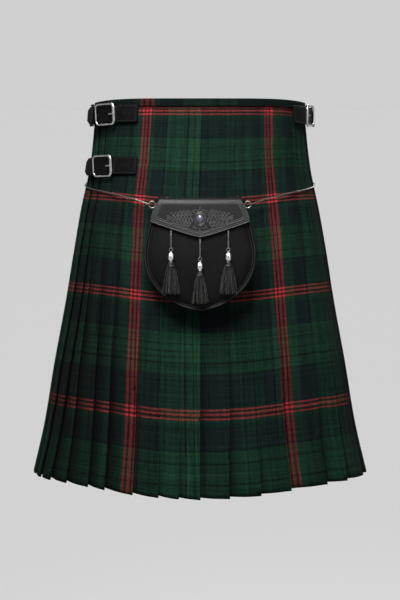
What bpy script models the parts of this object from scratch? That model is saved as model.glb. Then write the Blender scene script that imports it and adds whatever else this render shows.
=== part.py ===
"""A Scottish kilt, worn and empty, with its sporran on a chain belt.

The front is -Y, +X is to the right of someone who looks at the front, and +Z is up.
The origin is the centre of the waist opening, at the height of the top edge over the hips.
A point of the cloth is given by three values: its turn in degrees round the waist from the centre
front towards +X, its share of the length (0 at the waist, 1 at the hem), and how far out it lies
from the kilt's outline. Metres throughout.
"""

import math

import bmesh
import bpy
from mathutils import Matrix, Vector

MM = 0.001

# Kilt: length over the hips, cloth wall and clear gaps
LENGTH = 0.610
WALL = 0.0016
HALF_WALL = WALL / 2
SEAM = 0.0003
LYING_CLEAR = 0.0007

# Outline from the front: drop below the waist, half width
OUTLINE = (
    (0.000, 0.1710),
    (0.043, 0.1745),
    (0.108, 0.1825),
    (0.174, 0.1972),
    (0.241, 0.2094),
    (0.325, 0.2236),
    (0.426, 0.2431),
    (0.528, 0.2611),
    (0.610, 0.2807),
)
DEPTH_AT_WAIST = 0.735
DEPTH_AT_HEM = 0.755

# Top edge and hem line: how far they leave the level
FRONT_RISE = 0.0064
BACK_RISE = 0.0030
HEM_LIFT = 0.009
HEM_DIP = 0.003

# Knife pleats that run from waist to hem: free edge to the right, cloth folded back under it
APRON_EDGE = -61.0
FIRST_PLEAT = 76.0
PLEATS_AFTER_FIRST = 22
FOLDED_UNDER = 4.0
LAYER_AT_WAIST = 0.0021
LAYER_AT_HEM = 0.0030
RISE_AFTER_EDGE = 1.4
FLAT_BEFORE_FOLD = 1.0

# Pleats of the front, which open below the hip: share where each opens, turn there, turn at the hem
FRONT_FOLDS = (
    (0.30, -57.3, -50.7),
    (0.34, -48.0, -40.0),
    (0.43, -38.9, -33.0),
    (0.48, -25.7, -22.3),
    (0.72, -14.9, -13.6),
    (0.82, -7.5, -6.9),
    (0.55, 0.0, 0.0),
    (0.64, 11.4, 9.5),
    (0.80, 21.9, 19.9),
    (0.52, 31.9, 31.2),
    (0.60, 51.0, 46.9),
    (0.78, 61.1, 58.2),
)
FRONT_STEP = 0.0046
STEP_OPENS_OVER = 0.30
GROOVE = 0.45

# Nodes of the pleated cloth, from the wearer's left hip round the back: name, pleats in it
PLEAT_NODES = (
    ("pleats_left_hip", 4),
    ("pleats_left_back", 4),
    ("pleats_back_left", 3),
    ("pleats_back_right", 3),
    ("pleats_right_back", 4),
    ("pleats_right_hip", 4),
)
LEVELS = (0.0, 0.10, 0.19, 0.28, 0.38, 0.50, 0.63, 0.76, 0.89, 1.0)

# Under apron: how far inside the pleats it lies, and where it ends
UNDER_APRON_IN = 0.0030
UNDER_APRON_END = 52.0
UNDER_APRON_SHORT = 0.006

# Waistband: a strip of the cloth folded over the top edge
BAND_HIGH = 0.010
BAND_WALL = 0.0012
BAND_START = -60.0
BAND_STEP = 7.2

# Straps and buckles
STRAP_WIDE = 0.028
BILLET_THICK = 0.0026
TAB_THICK = 0.0024
FRAME_LONG = 0.044
FRAME_HIGH = 0.036
FRAME_BAR = 0.0019
FRAME_CORNER = 0.006
PRONG_RADIUS = 0.0012
KEEPER_WIDE = 0.009
KEEPER_HIGH = 0.036
KEEPER_THICK = 0.0016

# Leather that comes from the apron through the buckle: turn, mm above its base, width share
BILLET_ROUTE = (
    (34.0, 0.0, 1.0),
    (40.0, 0.2, 1.0),
    (46.0, 0.9, 1.0),
    (51.5, 1.5, 1.0),
    (57.0, 2.6, 1.0),
    (62.5, 4.8, 1.0),
    (68.0, 8.2, 1.0),
    (72.0, 10.2, 1.0),
    (75.5, 11.6, 0.62),
)
# Leather that holds the buckle from behind and is sewn over the pleats: turn, mm above its base
TAB_ROUTE = (
    (62.0, 0.0, 1.0),
    (67.0, 2.0, 1.0),
    (72.0, 3.4, 1.0),
    (77.0, 2.9, 1.0),
    (82.0, 1.6, 1.0),
    (87.0, 0.5, 1.0),
    (92.0, 0.0, 1.0),
    (97.0, 0.0, 1.0),
    (102.0, 0.0, 1.0),
    (107.5, 0.0, 1.0),
    (113.0, 0.0, 1.0),
)
FRAME_FROM = 48.0
FRAME_TO = 66.0

# Each strap: name, side, drop of its middle, turn added, base out from the outline in mm,
# share of the stand-off, keeper or none
STRAPS = (
    ("waist_right", -1, 0.0205, 0.0, 3.8, 1.0, True),
    ("hip_right", -1, 0.1030, -1.0, 2.1, 0.75, False),
    ("waist_left", 1, 0.0200, 24.0, 3.8, 0.9, True),
)

# Sporran: place of the flap's top edge, and its lean, which follows the front of the kilt
SPORRAN_DROP = 0.1558
SPORRAN_HIGH = 0.171
SPORRAN_OFF = 0.0044
# Pouch outline: drop below the flap's top edge in mm, half width in mm
POUCH_OUTLINE = (
    (1.5, 60.0),
    (22.0, 71.0),
    (38.0, 77.5),
    (60.0, 82.8),
    (82.0, 86.2),
    (102.0, 84.4),
    (119.0, 78.6),
    (134.0, 69.5),
    (148.0, 55.5),
    (159.0, 40.0),
    (167.0, 21.0),
    (171.0, 0.0),
)
POUCH_MIDDLE = -85.0
# Pouch form: height above the back in mm, scale of the outline
POUCH_RINGS = (
    (3.1, 0.955),
    (8.0, 0.985),
    (16.0, 1.0),
    (23.0, 0.99),
    (27.0, 0.955),
    (29.5, 0.90),
    (31.6, 0.74),
    (33.2, 0.50),
    (34.0, 0.22),
)
BACK_PANEL_FROM = 0.3
BACK_PANEL_TO = 2.8
BACK_PANEL_SCALE = 0.985
BACK_PANEL_TOP = 3.0
RIM_SCALE = 0.984
RIM_OUT = 27.6
RIM_RADIUS = 2.2
RIM_FIRST_ROW = 1

# Flap: path over the top edge (height above the back, up) in mm, then down the front
FLAP_TOP_PATH = (
    (3.6, 1.0),
    (9.0, 2.2),
    (20.0, 2.6),
    (30.0, 1.6),
    (36.0, -1.6),
    (38.2, -7.0),
)
FLAP_HALF_TOP = 62.7
FLAP_HALF_SIDE = 76.5
FLAP_SIDE_DROP = 34.5
FLAP_TIP_DROP = 59.0
FLAP_THICK = 3.0
FLAP_FRONT = 38.2
FLAP_SIDE_FALL = 5.4
FLAP_COLUMNS = 14
FLAP_FRONT_ROWS = 4

# Oval mount and stone on the flap, in mm
STONE_DROP = 30.3
BEZEL_HALF = (8.6, 10.6)
BEZEL_RADIUS = 1.5
STONE_HALF = (6.4, 8.4)
STONE_HIGH = 4.2

# Rings and tabs that carry the sporran on its chain, in mm
RING_RADIUS = 5.2
RING_WIRE = 1.0
RING_OUT = -1.2
HOOK_CLEAR = 0.75
LOOP_FROM = (56.0, 7.0)
LOOP_TO = (69.0, -1.6)
LOOP_WIDE = 9.0
LOOP_BACK = -2.4
LOOP_THICK = 2.4

# Chain belt: turn, drop, out in mm; the same on both sides, then a leather strap over the back
CHAIN_ROUTE = (
    (30.0, 0.1548, 13.5),
    (36.0, 0.1521, 9.2),
    (43.0, 0.1489, 5.6),
    (52.0, 0.1449, 2.9),
    (64.0, 0.1404, 1.9),
    (77.0, 0.1355, 1.9),
    (90.0, 0.1315, 1.9),
    (104.0, 0.1280, 1.9),
    (118.0, 0.1255, 1.9),
    (131.0, 0.1240, 1.9),
)
CHAIN_RADIUS = 0.0015
CHAIN_POINT_EVERY = 6.0
BACK_STRAP_FROM = 140.0
BACK_STRAP_DROP = 0.1235
BACK_STRAP_WIDE = 0.020
BACK_STRAP_THICK = 0.0026
BACK_RING_RADIUS = 0.0085
BACK_RING_WIRE = 0.0013

# Tassels: name, across, drop of the flap's edge there, drop of the ring, all in mm
TASSELS = (
    ("right", -44.5, 46.0, 77.6),
    ("middle", 0.0, 59.0, 92.2),
    ("left", 43.5, 46.0, 77.6),
)
TASSEL_OUT = 41.6
TASSEL_CHAIN_RADIUS = 0.9
TASSEL_CHAIN_UNDER = 5.0
TASSEL_RING_RADIUS = 2.6
TASSEL_RING_WIRE = 0.75
BEAD_HALF = (4.5, 7.4)
TASSEL_HEAD_HALF = 5.0
TASSEL_HEAD_HIGH = 7.0
STRAND_ROWS = 5
STRAND_LONG = 43.0
STRAND_SPREAD = 2.5
STRAND_SPREAD_OUT = 1.15


# Reading a table


def read(table, key, column=1):
    """Value of a column at this key, on a smooth curve through the rows."""
    last = len(table) - 1
    row = max(0, min(last - 1, sum(entry[0] <= key for entry in table) - 1))

    def slope(at):
        low = table[max(0, at - 1)]
        high = table[min(last, at + 1)]
        return (high[column] - low[column]) / (high[0] - low[0])

    span = table[row + 1][0] - table[row][0]
    share = min(1.0, max(0.0, (key - table[row][0]) / span))
    start = table[row][column]
    end = table[row + 1][column]
    bend_start = slope(row) * span
    bend_end = slope(row + 1) * span
    return (
        start * (2 * share**3 - 3 * share**2 + 1)
        + bend_start * (share**3 - 2 * share**2 + share)
        + end * (3 * share**2 - 2 * share**3)
        + bend_end * (share**3 - share**2)
    )


def between(start, end, share):
    return start + (end - start) * share


# The cloth's surface


def half_sizes(share):
    """Half width and half depth of the outline at a share of the length, straight between levels."""
    row = max(0, min(len(LEVELS) - 2, sum(level <= share for level in LEVELS) - 1))
    low, high = LEVELS[row], LEVELS[row + 1]
    along = (share - low) / (high - low)
    wide = between(read(OUTLINE, low * LENGTH), read(OUTLINE, high * LENGTH), along)
    return wide, wide * between(DEPTH_AT_WAIST, DEPTH_AT_HEM, share)


def top_rise(turn):
    """How far the top edge stands above the hips' level at this turn."""
    front = FRONT_RISE if math.cos(math.radians(turn)) > 0 else BACK_RISE
    return front * (1 - math.sin(math.radians(turn)) ** 6)


def hem_lift(turn):
    """The hem rises a little between the centre front and the hips."""
    if math.cos(math.radians(turn)) <= 0:
        return 0.0
    return HEM_LIFT * math.sin(math.radians(2 * turn)) ** 2


def on_cloth(turn, share, out, dip=0.0):
    """A point at this turn and share of the length, so far out from the outline."""
    wide, deep = half_sizes(share)
    angle = math.radians(turn)
    normal = Vector((deep * math.sin(angle), -wide * math.cos(angle), 0)).normalized()
    height = -share * LENGTH + (1 - share) * top_rise(turn) + share * hem_lift(turn)
    height -= HEM_DIP * dip * share**10
    return Vector((wide * math.sin(angle), -deep * math.cos(angle), height)) + normal * out


def degrees_of(length, share):
    """The turn that a length along the cloth takes, on average."""
    wide, deep = half_sizes(share)
    return math.degrees(2 * length / (wide + deep))


def layers(share):
    """Middles of the outer, folded and inner layer of a pleat, outwards from the outline."""
    layer = between(LAYER_AT_WAIST, LAYER_AT_HEM, share)
    return -HALF_WALL, -HALF_WALL - layer, -HALF_WALL - 2 * layer


# Sections of the cloth: lists of (turn, out, dip) for its outer and inner side


class Section:
    """The two sides of the wall at one height, built up along the cloth."""

    def __init__(self, share):
        self.share = share
        self.outer = []
        self.inner = []
        self.side = degrees_of(HALF_WALL, share)

    def flat(self, turn, level, dip=0.5):
        self.outer.append((turn, level + HALF_WALL, dip))
        self.inner.append((turn, level - HALF_WALL, dip))

    def turned(self, turn, outer_level, inner_level, dip):
        self.outer.append((turn + self.side, outer_level, dip))
        self.inner.append((turn - self.side, inner_level, dip))

    def knife_fold(self, edge, last_level=None):
        """A free edge, the cloth folded back under it, and the turn into the next panel."""
        top, middle, bottom = layers(self.share)
        if last_level is not None:
            bottom = last_level
        back = edge - FOLDED_UNDER
        self.turned(edge, top + HALF_WALL, top - HALF_WALL, 1.0)
        self.turned(edge, middle - HALF_WALL, middle + HALF_WALL, 1.0)
        self.turned(back, middle - HALF_WALL, middle + HALF_WALL, 0.4)
        self.turned(back, bottom + HALF_WALL, bottom - HALF_WALL, 0.0)

    def small_step(self, edge, step):
        """A pleat of the front: the panel's edge stands proud of the next panel."""
        top = layers(self.share)[0]
        after = top - step
        openness = step / FRONT_STEP
        self.turned(edge, top + HALF_WALL, top - HALF_WALL, openness)
        self.turned(edge + GROOVE, after + HALF_WALL, after - HALF_WALL, 0.0)

    def points(self, side):
        return [on_cloth(turn, self.share, out, dip) for turn, out, dip in side]


def after_fold(edge, share):
    """Turn where a seam lies, just past the inner end of the fold at this edge."""
    return edge - FOLDED_UNDER + 2.2 * degrees_of(HALF_WALL, share)


def pleat_section(share, edges, previous_edge, ends_inside):
    """Pleats with these free edges, from the seam under the edge before them."""
    section = Section(share)
    top, _, bottom = layers(share)
    section.flat(after_fold(previous_edge, share) + degrees_of(SEAM, share), bottom, 0.0)
    for edge in edges:
        section.flat(previous_edge + RISE_AFTER_EDGE, bottom, 0.1)
        section.flat(edge - FOLDED_UNDER - FLAT_BEFORE_FOLD, top, 0.6)
        is_last = edge == edges[-1]
        inside = bottom - UNDER_APRON_IN if ends_inside and is_last else None
        section.knife_fold(edge, inside)
        previous_edge = edge
    end_level = bottom - UNDER_APRON_IN if ends_inside else bottom
    section.flat(after_fold(edges[-1], share), end_level, 0.0)
    return section


def front_fold(row, share):
    """Turn of a front fold and the height of its step, at a share of the length."""
    opens, turn_there, turn_at_hem = row
    along = max(0.0, (share - opens) / (1 - opens))
    opened = min(1.0, max(0.0, (share - opens) / STEP_OPENS_OVER))
    return between(turn_there, turn_at_hem, along), FRONT_STEP * opened**0.8


def over_apron_section(share):
    """The front, from the edge under the last pleat to the first pleat of the side."""
    section = Section(share)
    top, _, bottom = layers(share)
    section.flat(after_fold(APRON_EDGE, share) + 3 * section.side, bottom, 0.0)
    section.flat(APRON_EDGE + RISE_AFTER_EDGE, bottom, 0.0)
    folds = [front_fold(row, share) for row in FRONT_FOLDS]
    for index, (turn, step) in enumerate(folds):
        before = APRON_EDGE + RISE_AFTER_EDGE if index == 0 else folds[index - 1][0] + GROOVE
        step_before = 0.0 if index == 0 else folds[index - 1][1]
        share_across = 0.75 if index == 0 else 0.5
        section.flat(between(before, turn, share_across), top - 0.35 * step_before)
        section.small_step(turn, step)
    last = FIRST_PLEAT - FOLDED_UNDER - FLAT_BEFORE_FOLD
    section.flat(between(folds[-1][0] + GROOVE, last, 0.5), top - 0.35 * folds[-1][1])
    section.flat(last, top)
    section.knife_fold(FIRST_PLEAT)
    section.flat(after_fold(FIRST_PLEAT, share), bottom, 0.0)
    return section


def under_apron_section(share):
    """The plain panel behind the front, which carries on from the last pleat."""
    section = Section(share)
    level = layers(share)[2] - UNDER_APRON_IN
    start = after_fold(APRON_EDGE, share) + degrees_of(SEAM, share)
    steps = 14
    for index in range(steps + 1):
        section.flat(between(start, UNDER_APRON_END, index / steps), level, 0.0)
    return section


# Making objects


def clear_scene():
    for item in list(bpy.data.objects):
        bpy.data.objects.remove(item)


def finish(name, colour, roughness, metallic=0.0):
    """A plain material."""
    material = bpy.data.materials.new(name)
    material.use_nodes = True
    shader = material.node_tree.nodes["Principled BSDF"]
    shader.inputs["Base Color"].default_value = (*colour, 1)
    shader.inputs["Roughness"].default_value = roughness
    shader.inputs["Metallic"].default_value = metallic
    material.diffuse_color = (*colour, 1)
    return material


def make_object(name, bm, material, smooth_angle=None):
    """One object from a bmesh, with its faces turned outwards."""
    bmesh.ops.recalc_face_normals(bm, faces=bm.faces)
    mesh = bpy.data.meshes.new(name)
    bm.to_mesh(mesh)
    bm.free()
    if smooth_angle:
        mesh.shade_smooth()
        mesh.set_sharp_from_angle(angle=math.radians(smooth_angle))
    mesh.materials.append(material)
    item = bpy.data.objects.new(name, mesh)
    bpy.context.scene.collection.objects.link(item)
    return item


def wall(name, sections, material):
    """A cloth wall through sections that have the same number of points."""
    bm = bmesh.new()
    outer = [[bm.verts.new(point) for point in s.points(s.outer)] for s in sections]
    inner = [[bm.verts.new(point) for point in s.points(s.inner)] for s in sections]
    across = range(len(outer[0]) - 1)
    for row in range(len(sections) - 1):
        for side in (outer, inner):
            for i in across:
                bm.faces.new((side[row][i], side[row][i + 1], side[row + 1][i + 1], side[row + 1][i]))
        for end in (0, -1):
            corners = (outer[row][end], inner[row][end], inner[row + 1][end], outer[row + 1][end])
            bm.faces.new(corners)
    for row in (0, -1):
        for i in across:
            bm.faces.new((outer[row][i], outer[row][i + 1], inner[row][i + 1], inner[row][i]))
    return make_object(name, bm, material)


def loft(name, rings, material, closed=False, smooth_angle=40):
    """A skin through rings of the same number of points, closed on itself or with flat ends."""
    bm = bmesh.new()
    made = [[bm.verts.new(point) for point in ring] for ring in rings]
    count = len(made[0])
    pairs = list(zip(made, made[1:]))
    if closed:
        pairs.append((made[-1], made[0]))
    for one, other in pairs:
        for i in range(count):
            j = (i + 1) % count
            bm.faces.new((one[i], one[j], other[j], other[i]))
    if not closed:
        bm.faces.new(made[0])
        bm.faces.new(made[-1])
    return make_object(name, bm, material, smooth_angle)


def tube(name, points, radius, sides, material, up, closed=False):
    """A round bar along points; up is roughly square to the route everywhere."""
    rings = []
    last = len(points) - 1
    for index, point in enumerate(points):
        after = points[(index + 1) % len(points)] if closed else points[min(last, index + 1)]
        before = points[index - 1] if closed else points[max(0, index - 1)]
        along = (after - before).normalized()
        across = along.cross(up).normalized()
        high = across.cross(along)
        ring = []
        for side in range(sides):
            angle = 2 * math.pi * (side + 0.5) / sides
            ring.append(point + (across * math.cos(angle) + high * math.sin(angle)) * radius)
        rings.append(ring)
    return loft(name, rings, material, closed)


def ring_points(centre, one, other, radii, count):
    """Points of an oval in the plane of two directions."""
    points = []
    for index in range(count):
        angle = 2 * math.pi * index / count
        points.append(centre + one * (radii[0] * math.cos(angle)) + other * (radii[1] * math.sin(angle)))
    return points


# Cloth pieces


def pleat_edges():
    """Turns of the pleats' free edges after the first, ending at the apron's edge."""
    step = (360 + APRON_EDGE - FIRST_PLEAT) / PLEATS_AFTER_FIRST
    return [FIRST_PLEAT + step * (index + 1) for index in range(PLEATS_AFTER_FIRST)]


def make_cloth(cloth):
    wall("over_apron", [over_apron_section(share) for share in LEVELS], cloth)
    short = UNDER_APRON_SHORT / LENGTH
    shares = LEVELS[:-1] + (1.0 - short,)
    wall("under_apron", [under_apron_section(share) for share in shares], cloth)
    edges = pleat_edges()
    previous = FIRST_PLEAT
    for name, count in PLEAT_NODES:
        own = edges[:count]
        edges = edges[count:]
        sections = [pleat_section(share, own, previous, not edges) for share in LEVELS]
        wall(name, sections, cloth)
        previous = own[-1]


def make_waistband(cloth):
    """A channel over the top edges of the layers, open at the front edge of the apron."""
    count = round((360 - BAND_STEP) / BAND_STEP)
    depth = 2 * LAYER_AT_WAIST + WALL + UNDER_APRON_IN + LYING_CLEAR
    drop_share = BAND_HIGH / LENGTH
    rings = []
    for index in range(count + 1):
        turn = BAND_START + (360 - BAND_STEP / 6) * index / count
        up = Vector((0, 0, SEAM))
        high = Vector((0, 0, SEAM + BAND_WALL))
        outer_in, outer_out = LYING_CLEAR, LYING_CLEAR + BAND_WALL
        inner_out, inner_in = -depth, -depth - BAND_WALL
        rings.append([
            on_cloth(turn, drop_share, outer_in),
            on_cloth(turn, drop_share, outer_out),
            on_cloth(turn, 0, outer_out) + high,
            on_cloth(turn, 0, inner_in) + high,
            on_cloth(turn, drop_share, inner_in),
            on_cloth(turn, drop_share, inner_out),
            on_cloth(turn, 0, inner_out) + up,
            on_cloth(turn, 0, outer_in) + up,
        ])
    return loft("waistband", rings, cloth)


# Straps and buckles


def strap_point(strap, turn, out, height):
    """A point on a strap: out in metres, height from the strap's middle."""
    side, drop, added = strap[1:4]
    return on_cloth(side * (turn + added), (drop - height) / LENGTH, out)


def strap_band(name, strap, route, thick, wide, material):
    """A flat band along rows of (turn, out, width share)."""
    rings = []
    for turn, out, width in route:
        half = wide * width / 2
        low = out - thick / 2
        high = out + thick / 2
        rings.append([
            strap_point(strap, turn, high, half),
            strap_point(strap, turn, low, half),
            strap_point(strap, turn, low, -half),
            strap_point(strap, turn, high, -half),
        ])
    return loft(name, rings, material)


def scaled_route(strap, route):
    """Rows of (turn, out in metres, width share), with this strap's base and stand-off."""
    base, stand_off = strap[4:6]
    return [(turn, (base + above * stand_off) * MM, width) for turn, above, width in route]


def frame_axes(strap, billet):
    """Middle and directions of a buckle's frame, whose upright bars lie on the strap."""
    near = strap_point(strap, FRAME_FROM, read(billet, FRAME_FROM), 0)
    far = strap_point(strap, FRAME_TO, read(billet, FRAME_TO), 0)
    middle = (near + far) / 2
    along = (far - near).normalized()
    up = Vector((0, 0, 1))
    up = (up - along * up.dot(along)).normalized()
    out = along.cross(up) * strap[1]
    highest = 0.0
    for step in range(41):
        turn = between(FRAME_FROM - 2, FRAME_TO + 2, step / 40)
        for height in (-STRAP_WIDE / 2, STRAP_WIDE / 2):
            place = strap_point(strap, turn, read(billet, turn), height) - middle
            if abs(place.dot(along)) > FRAME_LONG / 2 - 3 * FRAME_BAR:
                highest = max(highest, place.dot(out))
    clear = BILLET_THICK / 2 + SEAM + FRAME_BAR
    return middle + out * (highest + clear), along, up, out


def frame_route(centre, along, up):
    """Round-cornered rectangle that the frame's bar follows."""
    points = []
    half_long = FRAME_LONG / 2 - FRAME_BAR - FRAME_CORNER
    half_high = FRAME_HIGH / 2 - FRAME_BAR - FRAME_CORNER
    for corner, (one, other) in enumerate(((1, 1), (-1, 1), (-1, -1), (1, -1))):
        middle = centre + along * (one * half_long) + up * (other * half_high)
        for step in range(3):
            angle = math.radians(90 * corner + 45 * step)
            points.append(middle + (along * math.cos(angle) + up * math.sin(angle)) * FRAME_CORNER)
    return points


def make_strap(strap, leather, metal):
    name = strap[0]
    billet = scaled_route(strap, BILLET_ROUTE)
    strap_band(f"strap_{name}", strap, billet, BILLET_THICK, STRAP_WIDE, leather)
    tab = scaled_route(strap, TAB_ROUTE)
    strap_band(f"buckle_tab_{name}", strap, tab, TAB_THICK, STRAP_WIDE, leather)
    centre, along, up, out = frame_axes(strap, billet)
    tube(f"buckle_{name}", frame_route(centre, along, up), FRAME_BAR, 6, metal, out, closed=True)
    reach = FRAME_LONG / 2 - FRAME_BAR
    over = FRAME_BAR + SEAM + PRONG_RADIUS
    prong = (
        centre - along * (reach + 0.0012) + out * over,
        centre - along * (reach - 0.0022) + out * over,
        centre - along * (reach - 0.0085) + out * (PRONG_RADIUS - SEAM),
    )
    tube(f"prong_{name}", prong, PRONG_RADIUS, 6, metal, up)
    if strap[6]:
        make_keeper(strap, billet, tab, leather)


def make_keeper(strap, billet, tab, leather):
    """A loop of leather round the strap and the tab, past the buckle."""
    rings = []
    middle = FRAME_TO + 3.0
    half = math.degrees(KEEPER_WIDE / 2 / half_sizes(0)[0])
    for turn in (middle - half, middle + half):
        outer = read(billet, turn) + BILLET_THICK / 2 + LYING_CLEAR
        inner = read(tab, turn) - TAB_THICK / 2 - LYING_CLEAR
        rings.append((turn, outer, inner))
    name = f"keeper_{strap[0]}"
    corners = ((1, 1), (1, -1), (-1, -1), (-1, 1))
    bm = bmesh.new()
    made = []
    for turn, outer, inner in rings:
        for grow in (0.0, KEEPER_THICK):
            loop = []
            for level, side in corners:
                out = outer + grow if level > 0 else inner - grow
                height = side * (KEEPER_HIGH / 2 - KEEPER_THICK + grow)
                loop.append(bm.verts.new(strap_point(strap, turn, out, height)))
            made.append(loop)
    near_in, near_out, far_in, far_out = made
    for one, other in ((near_in, near_out), (near_out, far_out), (far_out, far_in), (far_in, near_in)):
        for i in range(4):
            j = (i + 1) % 4
            bm.faces.new((one[i], one[j], other[j], other[i]))
    return make_object(name, bm, leather)


# Sporran


def sporran_axes():
    """Place of the flap's top edge, and the directions across, up and out of the sporran."""
    top = on_cloth(0, SPORRAN_DROP / LENGTH, SPORRAN_OFF)
    low = on_cloth(0, (SPORRAN_DROP + SPORRAN_HIGH) / LENGTH, SPORRAN_OFF)
    up = (top - low).normalized()
    across = Vector((1, 0, 0))
    return top, across, up, across.cross(up)


def on_sporran(across, up, out):
    """A point on the sporran, in mm across, up from the flap's top edge and out from its back."""
    place, one, two, three = sporran_axes()
    return place + (one * across + two * up + three * out) * MM


def pouch_ring(scale, out):
    """The pouch's outline at one height, drawn in towards its middle."""
    right = [(half, -drop) for drop, half in POUCH_OUTLINE]
    left = [(-half, up) for half, up in reversed(right[:-1])]
    ring = []
    for across, up in right + left:
        ring.append(on_sporran(across * scale, POUCH_MIDDLE + (up - POUCH_MIDDLE) * scale, out))
    return ring


def make_pouch(leather):
    loft("sporran_pouch", [pouch_ring(scale, out) for out, scale in POUCH_RINGS], leather)
    back = []
    for out in (BACK_PANEL_FROM, BACK_PANEL_TO):
        ring = pouch_ring(BACK_PANEL_SCALE, out)
        half = POUCH_OUTLINE[0][1]
        ring[0] = on_sporran(half, BACK_PANEL_TOP, out)
        ring[-1] = on_sporran(-half, BACK_PANEL_TOP, out)
        back.append(ring)
    loft("sporran_back", back, leather)
    rim = pouch_ring(RIM_SCALE, RIM_OUT)[RIM_FIRST_ROW:-RIM_FIRST_ROW]
    outwards = sporran_axes()[3]
    tube("sporran_rim", rim, RIM_RADIUS * MM, 6, leather, outwards)


def flap_half_width(drop):
    """Half width of the flap at a drop below its top edge."""
    share = min(1.0, max(0.0, drop / FLAP_SIDE_DROP))
    return between(FLAP_HALF_TOP, FLAP_HALF_SIDE, math.sin(share * math.pi / 2))


def flap_point(column, row, lift):
    """A point of the flap: column from -1 to 1, row along its path, lift out of its middle."""
    path_rows = len(FLAP_TOP_PATH)
    if row < path_rows:
        out, up = FLAP_TOP_PATH[row]
        before = FLAP_TOP_PATH[max(0, row - 1)]
        after = FLAP_TOP_PATH[min(path_rows - 1, row + 1)]
        run = Vector((after[0] - before[0], after[1] - before[1])).normalized()
        across = column * flap_half_width(-up)
        fall = FLAP_SIDE_FALL * (abs(across) / FLAP_HALF_SIDE) ** 2
        near_front = max(0.0, out / FLAP_FRONT) ** 3
        return on_sporran(across, up + run.x * lift, out - run.y * lift - fall * near_front)
    share = (row - path_rows + 1) / FLAP_FRONT_ROWS
    start = -FLAP_TOP_PATH[-1][1]
    edge = between(FLAP_TIP_DROP, FLAP_SIDE_DROP, abs(column) ** 1.15)
    drop = between(start, edge, share)
    across = column * flap_half_width(drop)
    fall = FLAP_SIDE_FALL * (abs(across) / FLAP_HALF_SIDE) ** 2
    return on_sporran(across, -drop, FLAP_FRONT - fall + lift)


def make_flap(leather):
    """A leather sheet over the top edge of the pouch and down its front."""
    rows = range(len(FLAP_TOP_PATH) + FLAP_FRONT_ROWS)
    rings = []
    half = FLAP_THICK / 2
    columns = [2 * index / FLAP_COLUMNS - 1 for index in range(FLAP_COLUMNS + 1)]
    bm = bmesh.new()
    outer = [[bm.verts.new(flap_point(c, row, half)) for c in columns] for row in rows]
    inner = [[bm.verts.new(flap_point(c, row, -half)) for c in columns] for row in rows]
    for row in rows[:-1]:
        for side in (outer, inner):
            for i in range(FLAP_COLUMNS):
                rings.append((side[row][i], side[row][i + 1], side[row + 1][i + 1], side[row + 1][i]))
        for end in (0, -1):
            rings.append((outer[row][end], inner[row][end], inner[row + 1][end], outer[row + 1][end]))
    for row in (0, -1):
        for i in range(FLAP_COLUMNS):
            rings.append((outer[row][i], outer[row][i + 1], inner[row][i + 1], inner[row][i]))
    for corners in rings:
        bm.faces.new(corners)
    return make_object("sporran_flap", bm, leather, 40)


def make_stone(metal, stone):
    """The oval mount in the middle of the flap, and its stone."""
    _, across, up, out = sporran_axes()
    face = FLAP_FRONT + FLAP_THICK / 2 + 0.3
    middle = on_sporran(0, -STONE_DROP, face + BEZEL_RADIUS)
    oval = ring_points(middle, across, up, [half * MM for half in BEZEL_HALF], 16)
    tube("sporran_bezel", oval, BEZEL_RADIUS * MM, 6, metal, out, closed=True)
    rings = []
    for share in (0.0, 0.45, 0.8, 0.97):
        shrink = math.sqrt(1 - share**2)
        centre = on_sporran(0, -STONE_DROP, face + STONE_HIGH * share)
        rings.append(ring_points(centre, across, up, [half * MM * shrink for half in STONE_HALF], 14))
    loft("sporran_stone", rings, stone)


def ring_place():
    """Middle of the right-hand ring, across and up: it touches the end of the leather loop."""
    run = (Vector(LOOP_TO) - Vector(LOOP_FROM)).normalized()
    return Vector(LOOP_TO) + run * (RING_RADIUS + RING_WIRE + SEAM / MM)


def make_loops(leather, metal):
    """On each side, a leather loop behind the back panel and the ring that the chain hooks into."""
    _, across, up, out = sporran_axes()
    for name, side in (("right", -1), ("left", 1)):
        start = Vector(LOOP_FROM)
        end = Vector(LOOP_TO)
        run = (end - start).normalized()
        edge = Vector((run.y, -run.x)) * (LOOP_WIDE / 2)
        rings = []
        for point in (start, end):
            ring = []
            for shift, height in ((1, 0), (1, LOOP_THICK), (-1, LOOP_THICK), (-1, 0)):
                place = point + edge * shift
                ring.append(on_sporran(side * place.x, place.y, LOOP_BACK + height))
            rings.append(ring)
        loft(f"sporran_loop_{name}", rings, leather)
        middle = ring_place()
        centre = on_sporran(side * middle.x, middle.y, RING_OUT)
        radius = RING_RADIUS * MM
        points = ring_points(centre, across, up, (radius, radius), 12)
        tube(f"sporran_ring_{name}", points, RING_WIRE * MM, 6, metal, out, closed=True)


def chain_point(side, turn):
    drop = read(CHAIN_ROUTE, turn, 1)
    out = read(CHAIN_ROUTE, turn, 2) * MM
    return on_cloth(side * turn, drop / LENGTH, out)


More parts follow.
